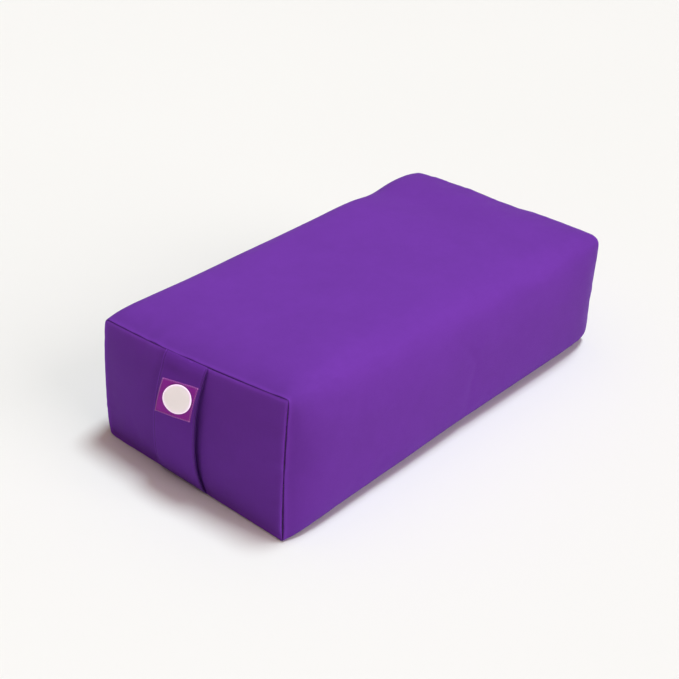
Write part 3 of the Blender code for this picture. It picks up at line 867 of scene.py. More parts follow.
def strap_half(name, z_from, z_to, add_top, add_foot):
    half_e = [0, 0.00010, 0.00030, 0.00065, 0.0010, 0.0015, 0.0020, 0.0025, STITCH_IN, 0.0035, 0.0042, 0.0055, 0.0080]
    zs = np.arange(round((z_to - z_from) / 0.0016) + 1) / round((z_to - z_from) / 0.0016) * (z_to - z_from) + z_from
    mids = np.linspace(0, 1, 24)[1:-1]

    def across(z):
        left, right = smooth_keys(z, LEFT_KEYS), smooth_keys(z, RIGHT_KEYS)
        width = right - left
        s = half_e + [half_e[-1] + (width - 2 * half_e[-1]) * m for m in mids] + [width - q for q in reversed(half_e)]
        return left, np.array(s), width

    def thickness(s, width, t):
        e = np.minimum(s, width - s)
        half = t / 2 * np.sqrt(np.clip(1 - (1 - np.clip(e / 0.0010, 0, 1)) ** 2, 0, 1))
        groove = 0.00030 * np.exp(-(((e - STITCH_IN) / 0.00055) ** 2))
        hem = 0.00010 * np.exp(-(((e - 0.0015) / 0.0008) ** 2))
        return half - groove + hem, e

    rows, cloth, painted_shade, painted_highlight = [], [], [], []

    def add_row(z, t, extra=None):
        left, s, width = across(z)
        half, e = thickness(s, width, t)
        x = left + s
        if extra is None:
            mid, n = strap_face(x, np.full_like(x, z), -t / 2)
        else:
            mid, n = extra(x, t)
        # edges curl in a touch
        curl = 0.0006 * np.exp(-e / 0.006) * smooth((z - 0.004) / 0.02) * smooth((0.164 - z) / 0.02)
        outer = mid + n * (half - curl)[:, None]
        inner = mid - n * (half + curl)[:, None]
        rows.append(np.concatenate([outer, inner[::-1][1:-1]]))
        flat = np.stack([s + 7.0, np.full_like(s, z)], -1)
        cloth.append(np.concatenate([flat, flat[::-1][1:-1] + [0.2, 0]]))
        # painted shade: along the stitch groove, at the strap's right edge, and over its whole inner face
        line = 0.55 * np.exp(-(((e - STITCH_IN) / 0.0005) ** 2)) + np.where(s > width / 2, 0.80 * np.exp(-((e / 0.0011) ** 2)), 0.0)
        painted_shade.append(np.concatenate([line, np.full(len(s) - 2, 0.35)]))
        # painted highlight along the left folded edge and beside the stitching
        fold = np.where(s < width / 2, 0.95, 0.0) * np.exp(-(((e - 0.0007) / 0.0010) ** 2)) + 0.30 * np.exp(-(((e - 0.0045) / 0.0008) ** 2))
        painted_highlight.append(np.concatenate([fold, np.zeros(len(s) - 2)]))

    def in_seam(top, dz, out):
        def place(x, t):
            rz = rim_z(x, top)
            U, Wp = inverse_end(x, np.clip(rz, 0.0, 1.0))
            y = form(U, Wp, -1.0)[..., 1]
            z = rz + (-dz if top else dz)
            n = np.stack([0 * x, -np.ones_like(x) * 0.7, (0.7 if top else -0.7) * np.ones_like(x)], -1)
            return np.stack([x, y - out, z], -1), n

        return place

    if add_foot:
        add_row(0.0005, 0.0006, in_seam(False, 0.0010, -0.0011))
        add_row(0.0008, 0.0008, in_seam(False, 0.0006, -0.0003))
        add_row(0.0010, 0.0011, in_seam(False, 0.0010, 0.0002))
    for z in zs:
        edge = 1.0
        if add_top:
            edge = min(edge, max(0.0, (0.1655 - z) / 0.004) ** 0.5)
        if add_foot:
            edge = min(edge, max(0.0, (z - 0.0015) / 0.004) ** 0.5)
        add_row(z, STRAP_T * (0.62 + 0.38 * min(1.0, edge)))
    if add_top:
        add_row(0.1670, 0.0011, in_seam(True, 0.0010, 0.0002))
        add_row(0.1675, 0.0008, in_seam(True, 0.0006, -0.0003))
        add_row(0.1680, 0.0006, in_seam(True, 0.0010, -0.0011))
    pts = np.stack(rows, 1)  # around, along
    cloth, painted_shade, painted_highlight = np.stack(cloth, 1), np.stack(painted_shade, 1), np.stack(painted_highlight, 1)
    outward = np.zeros_like(pts)
    k = len(across(0.1)[1])
    outward[1 : k - 2, :, 1] = -1.0
    pts[..., 2] = np.maximum(pts[..., 2], 0.0002)
    return sheet_object(name, pts, cloth, painted_shade, STRAP_CLOTH, outward, close_u=True, painted_highlight=painted_highlight)


def stitches(name, starts, ends, normals, radius, mat, sides=6, rings=6):
    """Short arched threads from starts to ends, standing along normals."""
    a, b, n = (np.asarray(q, float).reshape(-1, 3) for q in (starts, ends, normals))
    n = np.broadcast_to(n, a.shape)
    d = (b - a) / np.linalg.norm(b - a, axis=1, keepdims=True)
    n = n - d * (n * d).sum(1, keepdims=True)
    n = n / np.linalg.norm(n, axis=1, keepdims=True)
    side = np.cross(d, n)
    t = np.arange(rings) / (rings - 1)
    r = radius * np.maximum(0.25, np.sin(math.pi * (0.10 + 0.80 * t)) ** 0.45)
    rise = radius * (2.0 * np.sin(math.pi * t) - 1.2)
    mid = a[:, None] + (b - a)[:, None] * t[None, :, None] + n[:, None] * rise[None, :, None]
    ang = 2 * math.pi * np.arange(sides) / sides
    round_ = side[:, None, None] * np.cos(ang)[None, None, :, None] + n[:, None, None] * np.sin(ang)[None, None, :, None]
    verts = mid[:, :, None] + round_ * r[None, :, None, None]
    count = len(a)
    length = np.linalg.norm(b - a, axis=1)
    cloth = np.zeros((count, rings, sides, 3))
    cloth[..., 0] = (length[:, None] * t[None, :] + 0.01 * np.arange(count)[:, None])[..., None]
    cloth[..., 1] = (np.arange(sides) / sides)[None, None, :]
    faces = []
    for k in range(count):
        base = k * rings * sides
        for i in range(rings - 1):
            for j in range(sides):
                j2 = (j + 1) % sides
                faces.append((base + i * sides + j, base + i * sides + j2, base + (i + 1) * sides + j2, base + (i + 1) * sides + j))
        faces.append(tuple(base + j for j in reversed(range(sides))))
        faces.append(tuple(base + (rings - 1) * sides + j for j in range(sides)))
    obj = make_object(name, verts.reshape(-1, 3), faces, mat)
    put_vectors(obj, "cloth", cloth.reshape(-1, 3))
    return obj


def strap_runs(z_from, z_to):
    """Starts, ends and normals of the strap's two rows of topstitching."""
    pitch, gap = 0.0031, 0.0007
    z = z_from + pitch * np.arange(int((z_to - z_from) / pitch))
    rows = []
    for keys, sign in ((LEFT_KEYS, 1), (RIGHT_KEYS, -1)):
        lift = -0.00016 - 0.0006 * math.exp(-STITCH_IN / 0.006)
        za, zb = z + gap / 2, z + pitch - gap / 2
        pa, na = strap_face(smooth_keys(za, keys) + sign * STITCH_IN, za, lift)
        pb, nb = strap_face(smooth_keys(zb, keys) + sign * STITCH_IN, zb, lift)
        rows.append((pa, pb, na + nb))
    return [np.concatenate(q) for q in zip(*rows)]


SPLIT = 0.0855
strap_upper = strap_half("strap_upper_cloth", SPLIT, 0.1652, True, False)
strap_lower = strap_half("strap_lower_cloth", 0.0022, SPLIT, False, True)
upper_thread = stitches("strap_upper_stitching", *strap_runs(SPLIT, 0.1625), 0.00021, PURPLE_THREAD)
lower_thread = stitches("strap_lower_stitching", *strap_runs(0.0045, SPLIT), 0.00021, PURPLE_THREAD)
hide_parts("handle_strap_top", "handle_strap_grip")
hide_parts("handle_strap_bottom", "handle_strap_grip")
for piece in (strap_upper, upper_thread):
    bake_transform(piece)
for piece in (strap_lower, lower_thread):
    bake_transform(piece)

# ---------------------------------------------------------------- label
LABEL = np.array([(-0.0238, 0.1388), (0.0334, 0.1468), (0.0268, 0.1040), (-0.0326, 0.0950)])  # TL, TR, BR, BL on the strap
MAGENTA = woven("label_cloth", (0.350, 0.021, 0.420), pitch=0.00036, sheen=0.12, sheen_tint=(1.0, 0.5, 0.95), rough=0.62, mottle=0.10, thread=0.22, relief=0.00005, painted_shade=True, dark=0.45)
CREAM = woven("disc_cloth", (1.0, 0.970, 0.920), pitch=0.00034, sheen=0.80, sheen_tint=(1.0, 0.98, 0.94), rough=0.70, mottle=0.05, thread=0.16, relief=0.00004, painted_shade=True, dark=0.55)
RIM_WHITE = thread_material("disc_rim_thread", (1.0, 0.86, 0.98), pitch=0.0009, rough=0.5)
# painted light: the cream field and the white rim glow a little, brighter than the light falling on them
for mat, tint, share in ((CREAM, (1.0, 0.82, 0.88), 0.25), (RIM_WHITE, (0.97, 0.57, 1.0), 0.66)):
    mat.node_tree.nodes["Principled BSDF"].inputs["Emission Color"].default_value = (*tint, 1.0)
    mat.node_tree.nodes["Principled BSDF"].inputs["Emission Strength"].default_value = share
PINK = thread_material("label_stitch_thread", (0.80, 0.34, 0.78), rough=0.5)
# a dark, narrow ring drawn just outside the disc's rim
DARK_EDGE = thread_material("disc_dark_ring", (0.090, 0.012, 0.100), rough=0.6)


def on_label(s, t):
    """Strap coordinates at s across and t down the label, both 0 to 1."""
    s, t = np.asarray(s, float)[..., None], np.asarray(t, float)[..., None]
    tl, tr, br, bl = LABEL
    return (1 - t) * ((1 - s) * tl + s * tr) + t * ((1 - s) * bl + s * br)


def build_label():
    nu, nv = 62, 46
    s, t = np.linspace(0, 1, nu)[:, None] + 0 * np.zeros((1, nv)), np.linspace(0, 1, nv)[None, :] + 0 * np.zeros((nu, 1))
    xz = on_label(s, t)
    e = np.minimum(np.minimum(s, 1 - s) * 0.060, np.minimum(t, 1 - t) * 0.044)
    ripple = 0.00010 * noise2(xz[..., 0], xz[..., 1], 0.0045, 51) + 0.00016 * noise2(xz[..., 0], xz[..., 1], 0.012, 52)
    pull = -0.00016 * np.exp(-(((e - 0.0013) / 0.0007) ** 2))
    thick = 0.00048 * np.sqrt(np.clip(1 - (1 - np.clip(e / 0.00035, 0, 1)) ** 2, 0, 1))
    top, n = strap_face(xz[..., 0], xz[..., 1], 0.00022 + thick + pull + ripple * smooth(e / 0.004))
    foot, _ = strap_face(xz[..., 0], xz[..., 1], 0.00010 + 0 * e)
    top_i = np.arange(nu * nv).reshape(nu, nv)
    verts = [top.reshape(-1, 3)]
    rim = [(i, 0) for i in range(nu)] + [(nu - 1, j) for j in range(1, nv)] + [(i, nv - 1) for i in range(nu - 2, -1, -1)] + [(0, j) for j in range(nv - 2, 0, -1)]
    under = np.array([foot[i, j] for i, j in rim])
    verts.append(under)
    faces = grid_faces(nu, nv)
    first = nu * nv
    for k in range(len(rim)):
        k2 = (k + 1) % len(rim)
        faces.append((int(top_i[rim[k]]), first + k, first + k2, int(top_i[rim[k2]])))
    cloth = np.concatenate([np.stack([s * 0.060 + 11, t * 0.044], -1).reshape(-1, 2), np.array([(s[i, j] * 0.060 + 11, t[i, j] * 0.044) for i, j in rim])])
    # painted shade along the stitched dip and on the patch's sides
    painted_shade = np.concatenate([(0.55 * np.exp(-(((e - 0.0013) / 0.0006) ** 2))).ravel(), np.full(len(rim), 0.6)])
    obj = make_object("label_patch_cloth", np.concatenate(verts), faces, MAGENTA)
    fix_normals(obj, Vector((0, -1, 0)))
    put_vectors(obj, "cloth", cloth)
    put_floats(obj, "painted_shade", painted_shade)
    return obj


def fix_normals(obj, towards):
    """Faces agree with each other, and mostly look towards a direction."""
    bm = bmesh.new()
    bm.from_mesh(obj.data)
    bmesh.ops.recalc_face_normals(bm, faces=bm.faces)
    if sum(f.normal.dot(towards) * f.calc_area() for f in bm.faces) < 0:
        bmesh.ops.reverse_faces(bm, faces=bm.faces)
    bm.to_mesh(obj.data)
    bm.free()
    obj.data.shade_smooth()


DISC_C = (0.0038, 0.1232)
DISC_A, DISC_B, DISC_TILT = 0.0243, 0.0165, math.radians(24)


def disc_place(r, ang):
    """Strap coordinates at share r of the disc's radius."""
    a, b = DISC_A * r * np.cos(ang), DISC_B * r * np.sin(ang)
    c, s = math.cos(DISC_TILT), math.sin(DISC_TILT)
    return DISC_C[0] + a * c - b * s, DISC_C[1] + a * s + b * c


LABEL_TOP = 0.00070  # the patch's face, above the strap's


def build_disc():
    n_ang, radii = 96, np.array([0.0, 0.08, 0.16, 0.24, 0.32, 0.40, 0.48, 0.56, 0.64, 0.72, 0.80, 0.86, 0.91, 0.95, 0.985, 1.0])
    ang = np.linspace(0, 2 * math.pi, n_ang, endpoint=False)[:, None]
    x, z = disc_place(radii[None, :], ang)
    height = LABEL_TOP + 0.00042 * np.sqrt(np.clip(1 - np.clip((radii - 0.93) / 0.07, 0, 1) ** 2, 0, 1))[None, :] + 0.00006 * noise2(x, z, 0.006, 61)
    pts, _ = strap_face(x, z, height)
    pts[:, 0] = pts[:, 0].mean(0)
    nu, nv = pts.shape[:2]
    faces = [f for f in grid_faces(nu, nv, close_u=True)]
    obj = make_object("label_disc_cloth", pts.reshape(-1, 3), faces, CREAM)
    bm = bmesh.new()
    bm.from_mesh(obj.data)
    bm.verts.ensure_lookup_table()
    layer = bm.verts.layers.float_vector.new("cloth")
    for i in range(nu):
        for j in range(nv):
            bm.verts[i * nv + j][layer] = Vector((13 + x[i, j], z[i, j], 0))
    bmesh.ops.remove_doubles(bm, verts=bm.verts, dist=1e-6)
    bm.to_mesh(obj.data)
    bm.free()
    put_floats(obj, "painted_shade", np.zeros(len(obj.data.vertices)))
    fix_normals(obj, Vector((0, -1, 0)))
    return obj


def ring(name, share, half_width, height, ridges, mat, sides=8, segs=240, base=LABEL_TOP):
    """A raised border round the disc, its threads lying across it."""
    ang = np.linspace(0, 2 * math.pi, segs, endpoint=False)[:, None]
    t = (math.pi * np.arange(sides) / (sides - 1))[None, :]
    swell = 1.0 + (0.10 * np.sin(ang * ridges) if ridges else 0.0)
    off = -np.cos(t) * half_width + 0 * ang
    x, z = disc_place(share + off / ((DISC_A + DISC_B) / 2), ang)
    pts, _ = strap_face(x, z, base - 0.0001 + np.sin(t) * height * swell)
    obj = make_object(name, pts.reshape(-1, 3), grid_faces(segs, sides, close_u=True), mat)
    fix_normals(obj, Vector((0, -1, 0)))
    put_vectors(obj, "cloth", np.stack([off, ang * 0.02 + 0 * t, 0 * off], -1).reshape(-1, 3))
    return obj


def label_runs():
    """Slanted stitches over the label's edges."""
    tl, tr, br, bl = LABEL
    rng = np.random.default_rng(4)
    p, q = [], []
    for a, b in ((tl, tr), (tr, br), (br, bl), (bl, tl)):
        length = float(np.linalg.norm(b - a))
        count = int(round(length / 0.0027))
        d = (b - a) / length
        inward = np.array([d[1], -d[0]])
        k = (np.arange(count)[:, None] + 0.5) * length / count
        c = a + d * k + rng.uniform(-0.0001, 0.0001, (count, 2))
        p.append(c + inward * 0.0019 - d * 0.00045)
        q.append(c - inward * 0.00035 + d * 0.00045)
    p, q = np.concatenate(p), np.concatenate(q)
    pa, na = strap_face(p[:, 0], p[:, 1], LABEL_TOP + 0.00004)
    pb, nb = strap_face(q[:, 0], q[:, 1], 0.00022)
    return pa, pb, na + nb


label = build_label()
disc = build_disc()
disc_rim = ring("label_disc_rim", 0.945, 0.00120, 0.00070, 150, RIM_WHITE, segs=450)
disc_edge = ring("label_disc_edge", 1.020, 0.00042, 0.00034, 0, DARK_EDGE, sides=6, segs=140)
label_thread = stitches("label_stitching", *label_runs(), 0.00024, PINK)
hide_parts("label_patch")
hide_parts("label_disc")
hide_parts("label_thread")
for piece, slot in ((label, "label_fabric"), (disc, "disc_fabric"), (disc_rim, "disc_fabric"), (disc_edge, "label_thread"), (label_thread, "label_thread")):
    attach(piece, "handle")

# ---------------------------------------------------------------- zip
TAPE_LOW, TAPE_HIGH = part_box("zip_tape_upper")
COIL_BOX = {s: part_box("zip_coil_%s" % s) for s in ("upper", "lower")}


def herringbone(name, base):
    """Zip tape: narrow chevron stripes along it, read in the frame's own coordinates."""
    mat, tree, shader = nodes_of(name)
    k = Nodes(tree)
    co = k.object_coords()
    _, y, z = k.split(co)
    stripe = k.math("PINGPONG", z, 0.0011)
    twill = k.math("SINE", k.math("MULTIPLY", k.math("ADD", y, k.math("MULTIPLY", stripe, 1.6)), 2 * math.pi / 0.00055))
    fuzz = k.noise(co, 4000.0, 2.0, 0.6)
    f = k.math("ADD", k.math("MULTIPLY", twill, 0.25), k.math("MULTIPLY", fuzz, 0.5))
    colour = k.ramp(k.math("ADD", f, 0.25), [(0.1, tuple(q * 0.62 for q in base)), (0.9, tuple(q * 1.25 for q in base))])
    k.link(colour, shader.inputs["Base Color"])
    k.link(k.bump(f, 0.00007), shader.inputs["Normal"])
    k.link(k.math("ADD", k.math("MULTIPLY", fuzz, 0.15), 0.70), shader.inputs["Roughness"])
    shader.inputs["Sheen Weight"].default_value = 0.15
    shader.inputs["Specular IOR Level"].default_value = 0.25
    return mat


def enamel(name, base):
    """Lacquered die-cast zinc: orange-peel gloss, worn to bare metal in small scratches."""
    mat, tree, shader = nodes_of(name)
    k = Nodes(tree)
    co = k.object_coords()
    peel = k.noise(co, 1400.0, 3.0, 0.5)
    scratch = k.noise(co, 1.0, 3.0, 0.6, stretch=(400.0, 5200.0, 900.0))
    worn = k.ramp(scratch, [(0.735, (0.0, 0.0, 0.0)), (0.80, (0.8, 0.8, 0.8))])
    tint = k.ramp(peel, [(0.3, tuple(q * 0.82 for q in base)), (0.7, tuple(q * 1.12 for q in base))])
    k.link(k.mix(worn, tint, (0.30, 0.24, 0.36)), shader.inputs["Base Color"])
    k.link(k.math("ADD", k.math("MULTIPLY", peel, 0.22), 0.20), shader.inputs["Roughness"])
    bw = k.new("ShaderNodeRGBToBW")
    k.link(worn, bw.inputs[0])
    k.link(k.math("ADD", k.math("MULTIPLY", bw.outputs[0], 0.6), 0.35), shader.inputs["Metallic"])
    k.link(k.bump(peel, 0.00004), shader.inputs["Normal"])
    shader.inputs["Coat Weight"].default_value = 0.35
    shader.inputs["Coat Roughness"].default_value = 0.15
    return mat


def nylon(name, base):
    mat, tree, shader = nodes_of(name)
    k = Nodes(tree)
    co = k.object_coords()
    fine = k.noise(co, 2600.0, 2.0, 0.5)
    broad = k.noise(co, 60.0, 2.0, 0.5)
    colour = k.ramp(k.math("ADD", k.math("MULTIPLY", fine, 0.4), k.math("MULTIPLY", broad, 0.6)), [(0.35, tuple(q * 0.85 for q in base)), (0.65, tuple(q * 1.15 for q in base))])
    k.link(colour, shader.inputs["Base Color"])
    k.link(k.math("ADD", k.math("MULTIPLY", fine, 0.2), 0.28), shader.inputs["Roughness"])
    k.link(k.bump(fine, 0.00002), shader.inputs["Normal"])
    return mat


TAPE_MAT = herringbone("zip_tape_weave", (0.115, 0.030, 0.255))
COIL_MAT = nylon("zip_coil_nylon", (0.130, 0.034, 0.280))
METAL_MAT = enamel("zip_enamel", (0.120, 0.032, 0.255))


def dress(node, mat):
    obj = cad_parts[node]
    obj.data.materials.clear()
    obj.data.materials.append(mat)
    for p in obj.data.polygons:
        p.material_index = 0


for node in ("zip_tape_upper", "zip_tape_lower"):
    dress(node, TAPE_MAT)
for node in ("zip_top_stop_upper", "zip_top_stop_lower", "zip_bottom_stop"):
    dress(node, METAL_MAT)


def build_coil(which, sign):
    """One row of the coil: a filament wound in flattened turns, pressed flat where they meet the other row's."""
    low, high = COIL_BOX[which]
    wire = 0.00030
    xc = (low.x + high.x) / 2
    ax = (high.x - low.x) / 2 - wire
    inner = low.z if sign > 0 else high.z
    outer = high.z if sign > 0 else low.z
    nose = ZIP_Z - sign * 0.00045
    zc, az = (nose + outer) / 2, abs(outer - nose) / 2 - wire
    pitch = 0.00128
    turns = int((high.y - low.y) / pitch)
    pitch = (high.y - low.y - 0.0011) / (turns + 0.5)
    per, sides = 9, 5
    phase = 0.0 if sign > 0 else 0.5
    t = np.arange(turns * per + 1) / per
    ang = 2 * math.pi * t
    c, s = np.cos(ang), np.sin(ang)
    # flattened oval: long runs across, quick turns at the ends
    px = xc + ax * np.sign(c) * np.abs(c) ** 0.8
    pz = zc + sign * az * np.sign(s) * np.abs(s) ** 0.9
    py = low.y + 0.0004 + pitch * (t + phase) + 0.00012 * np.sin(2 * ang)
    path = np.stack([px, py, pz], -1)
    d = np.gradient(path, axis=0)
    d /= np.linalg.norm(d, axis=1, keepdims=True)
    ref = np.array([0.0, 1.0, 0.0])
    a = np.cross(d, ref)
    a /= np.linalg.norm(a, axis=1, keepdims=True)
    b = np.cross(d, a)
    phi = 2 * math.pi * np.arange(sides) / sides
    pts = path[:, None, :] + wire * (np.cos(phi)[None, :, None] * a[:, None, :] + np.sin(phi)[None, :, None] * b[:, None, :])
    n = len(path)
    faces = []
    i = np.arange(n - 1)[:, None]
    j = np.arange(sides)[None, :]
    j2 = (j + 1) % sides
    quads = np.stack([i * sides + j, i * sides + j2, (i + 1) * sides + j2, (i + 1) * sides + j], -1).reshape(-1, 4)
    faces = quads.tolist() + [list(reversed(range(sides))), [(n - 1) * sides + q for q in range(sides)]]
    obj = make_object("zip_coil_%s_turns" % which, pts.reshape(-1, 3), faces, COIL_MAT)
    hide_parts("zip_coil_%s" % which)
    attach(obj, "cushion")
    return obj


build_coil("upper", 1)
build_coil("lower", -1)


def plate(name, outlines, thickness, bevel, centre, mat):
    """A bevelled plate that faces -X. Outlines are (along Y, along Z) loops about centre; a second one is a hole."""
    curve = bpy.data.curves.new(name + "_outline", "CURVE")
    curve.dimensions = "2D"
    curve.fill_mode = "BOTH"
    curve.extrude = thickness / 2 - bevel
    curve.bevel_depth = bevel
    curve.bevel_resolution = 3
    for loop in outlines:
        spline = curve.splines.new("POLY")
        spline.points.add(len(loop) - 1)
        for p, (u, v) in zip(spline.points, loop):
            p.co = (u, v, 0, 1)
        spline.use_cyclic_u = True
    carrier = bpy.data.objects.new(name + "_outline", curve)
    bpy.context.scene.collection.objects.link(carrier)
    bpy.context.view_layer.update()
    mesh = bpy.data.meshes.new_from_object(carrier.evaluated_get(bpy.context.evaluated_depsgraph_get()))
    bpy.data.objects.remove(carrier, do_unlink=True)
    bpy.data.curves.remove(curve)
    # the outline's u, v and thickness become +Y, +Z and +X
    mesh.transform(Matrix(((0, 0, 1, centre[0]), (1, 0, 0, centre[1]), (0, 1, 0, centre[2]), (0, 0, 0, 1))))
    mesh.materials.clear()
    mesh.materials.append(mat)
    obj = bpy.data.objects.new(name, mesh)
    bpy.context.scene.collection.objects.link(obj)
    bm = bmesh.new()
    bm.from_mesh(mesh)
    bmesh.ops.remove_doubles(bm, verts=bm.verts, dist=1e-6)
    bmesh.ops.recalc_face_normals(bm, faces=bm.faces)
    bm.to_mesh(mesh)
    bm.free()
    mesh.shade_smooth()
    mesh.set_sharp_from_angle(angle=math.radians(38))
    return obj


def rounded(u0, v0, u1, v1, r, steps=5):
    """A rectangle's outline with rounded corners; r is one radius, or one for each end along u."""
    r0, r1 = r if isinstance(r, tuple) else (r, r)
    pts = []
    for cu, cv, q, start in ((u1 - r1, v1 - r1, r1, 0), (u0 + r0, v1 - r0, r0, 90), (u0 + r0, v0 + r0, r0, 180), (u1 - r1, v0 + r1, r1, 270)):
        for k in range(steps + 1):
            ang = math.radians(start + 90 * k / steps)
            pts.append((cu + q * math.cos(ang), cv + q * math.sin(ang)))
    return pts


def build_slider():
    low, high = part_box("zip_slider")
    y0 = (low.y + high.y) / 2
    top_in, top_out = ZIP_X - 0.0007, ZIP_X - 0.0019
    half = 0.0060
    # the shield, smoothed from its corner points
    corners = [(-half, 0.0030), (-0.0046, 0.0043), (-0.0018, 0.0045), (0.0012, 0.0040), (0.0048, 0.0036), (half, 0.0024)]
    side = corners + [(half, -0.0024)] + [(u, -v) for u, v in reversed(corners[:-1])]
    loop = []
    for i, p in enumerate(side):
        a, b = side[i - 1], side[(i + 1) % len(side)]
        for t in (0.0, 0.5, 1.0):
            q = [(1 - t) ** 2 * (0.3 * a[c] + 0.7 * p[c]) + 2 * t * (1 - t) * p[c] + t * t * (0.3 * b[c] + 0.7 * p[c]) for c in (0, 1)]
            loop.append(tuple(q))
    parts = [plate("shield", [loop], top_in - top_out, 0.00035, ((top_in + top_out) / 2, y0, ZIP_Z), METAL_MAT)]
    inner = [(u * 0.72, v * 0.68) for u, v in loop]
    parts.append(plate("shield_panel", [inner], 0.00040, 0.00015, (top_out - 0.00005, y0, ZIP_Z), METAL_MAT))
    for sign in (1, -1):
        rail = rounded(-0.0045, -0.00045, 0.0046, 0.00045, 0.0004)
        parts.append(plate("rail", [rail], 0.0021, 0.0002, (top_in + 0.00070, y0, ZIP_Z + sign * 0.00355), METAL_MAT))
    parts.append(plate("back_plate", [rounded(-0.0056, -0.0044, 0.0054, 0.0044, 0.0015)], 0.0010, 0.0002, (high.x - 0.0005, y0, ZIP_Z), METAL_MAT))
    web = [(-0.0052, 0.0), (-0.0035, -0.0003), (0.0018, -0.0003), (0.0026, 0.0), (0.0018, 0.0003), (-0.0035, 0.0003)]
    parts.append(plate("web", [web], 0.0036, 0.0001, (top_in + 0.0013, y0, ZIP_Z), METAL_MAT))
    # the bridge that carries the pull: a flat bar bent over it
    bm = bmesh.new()
    n, hw = 28, 0.00125
    crown = low.x
    foot = top_out + 0.0004
    rows = []
    for i in range(n + 1):
        ang = math.pi * i / n
        c, q = math.cos(ang), math.sin(ang)
        sx = math.copysign(abs(c) ** 0.55, c)
        sq = q**0.62
        outer = (foot + (crown - foot) * sq, y0 - 0.0034 * sx)
        inner_ = (foot + (crown + 0.00085 - foot) * sq, y0 - 0.0024 * sx)
        ring_pts = []
        for (px, py), (ox, oy) in ((outer, inner_), (inner_, outer)):
            dx, dy = ox - px, oy - py
            inset = 0.16
            ring_pts.append(((px, py), (px + dx * inset, py + dy * inset)))
        (o, oi), (ii, iii) = ring_pts
        section = [(o, -hw + 0.0002), (o, hw - 0.0002), (oi, hw), (iii, hw), (ii, hw - 0.0002), (ii, -hw + 0.0002), (iii, -hw), (oi, -hw)]
        rows.append([bm.verts.new((p[0], p[1], ZIP_Z + z)) for p, z in section])
    for i in range(n):
        for j in range(8):
            j2 = (j + 1) % 8
            bm.faces.new((rows[i][j], rows[i][j2], rows[i + 1][j2], rows[i + 1][j]))
    bm.faces.new(rows[0][::-1])
    bm.faces.new(rows[-1])
    bmesh.ops.recalc_face_normals(bm, faces=bm.faces)
    mesh = bpy.data.meshes.new("bridge")
    bm.to_mesh(mesh)
    bm.free()
    mesh.materials.append(METAL_MAT)
    mesh.shade_smooth()
    mesh.set_sharp_from_angle(angle=math.radians(40))
    bridge = bpy.data.objects.new("bridge", mesh)
    bpy.context.scene.collection.objects.link(bridge)
    parts.append(bridge)
    return merge("zip_slider_body", parts)


def merge(name, parts):
    """Several shells of one casting as one object."""
    bm = bmesh.new()
    for p in parts:
        bm.from_mesh(p.data)
    mesh = bpy.data.meshes.new(name)
    bm.to_mesh(mesh)
    bm.free()
    mesh.materials.append(parts[0].data.materials[0])
    for p in parts:
        bpy.data.objects.remove(p, do_unlink=True)
    obj = bpy.data.objects.new(name, mesh)
    bpy.context.scene.collection.objects.link(obj)
    mesh.shade_smooth()
    mesh.set_sharp_from_angle(angle=math.radians(38))
    return obj


def build_pull():
    low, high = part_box("zip_pull_tab")
    x0, y0 = (low.x + high.x) / 2, (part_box("zip_slider")[0].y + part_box("zip_slider")[1].y) / 2
    thick = high.x - low.x
    end = high.y - y0
    outer = rounded(-0.0006, -0.0036, end, 0.0036, (0.0006, 0.0031), 7)
    # a slight waist
    outer = [(u, v * (1 - 0.10 * math.sin(math.pi * max(0.0, min(1.0, (u - 0.004) / (end - 0.004)))) ** 2)) for u, v in outer]
    window = rounded(0.0006, -0.0021, 0.0060, 0.0021, 0.0007)[::-1]
    parts = [plate("tab", [outer, window], thick, 0.00030, (x0, y0, ZIP_Z), METAL_MAT)]
    lip = rounded(0.0078, -0.0024, end - 0.0011, 0.0024, (0.0008, 0.0021), 6)
    hollow = rounded(0.0086, -0.0017, end - 0.0019, 0.0017, (0.0005, 0.0015), 6)[::-1]
    parts.append(plate("tab_rim", [lip, hollow], thick + 0.00032, 0.00014, (x0, y0, ZIP_Z), METAL_MAT))
    for k in range(4):
        u = 0.0112 + 0.0024 * k
        parts.append(plate("grip_rib", [rounded(u - 0.00035, -0.0012, u + 0.00035, 0.0012, 0.0003, 3)], thick + 0.00028, 0.00012, (x0, y0, ZIP_Z), METAL_MAT))
    return merge("zip_pull_tab_body", parts)


slider = build_slider()
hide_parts("zip_slider")
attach(slider, "slider")
pull = build_pull()
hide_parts("zip_pull_tab")
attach(pull, "pull_tab")


def build_guard():
    """The strip behind the zip's tapes, which keeps the liner out of the teeth."""
    ys = np.linspace(-0.2962, 0.2962, 170)
    zs = np.array([-0.0100, -0.0096, -0.0060, -0.0020, 0.0020, 0.0060, 0.0096, 0.0100])
    y, z = ys[:, None] + 0 * zs[None, :], zs[None, :] + 0 * ys[:, None]
    wave = 0.00008 * noise2(y, z, 0.012, 120)
    x = -0.14985 + wave + 0.00012 * (np.abs(z) > 0.0098)
    end = smooth((np.abs(y) - 0.288) / 0.006)
    x = x - 0.0009 * end * np.exp(-((z / 0.004) ** 2))
    pts = np.stack([x, y + SHIFT, z + ZIP_Z], -1)
    out = np.zeros_like(pts)
    out[..., 0] = -1
    # painted shade: the strip is drawn darker as it lies back behind the zip
    obj = sheet_object("zip_guard_cloth", pts, np.stack([y + 30, z], -1), 0.25 + 0 * x, COVER, out)
    wall = obj.modifiers.new("thickness", "SOLIDIFY")
    wall.thickness = 0.00030
    wall.offset = -1.0
    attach(obj, "cushion")


build_guard()


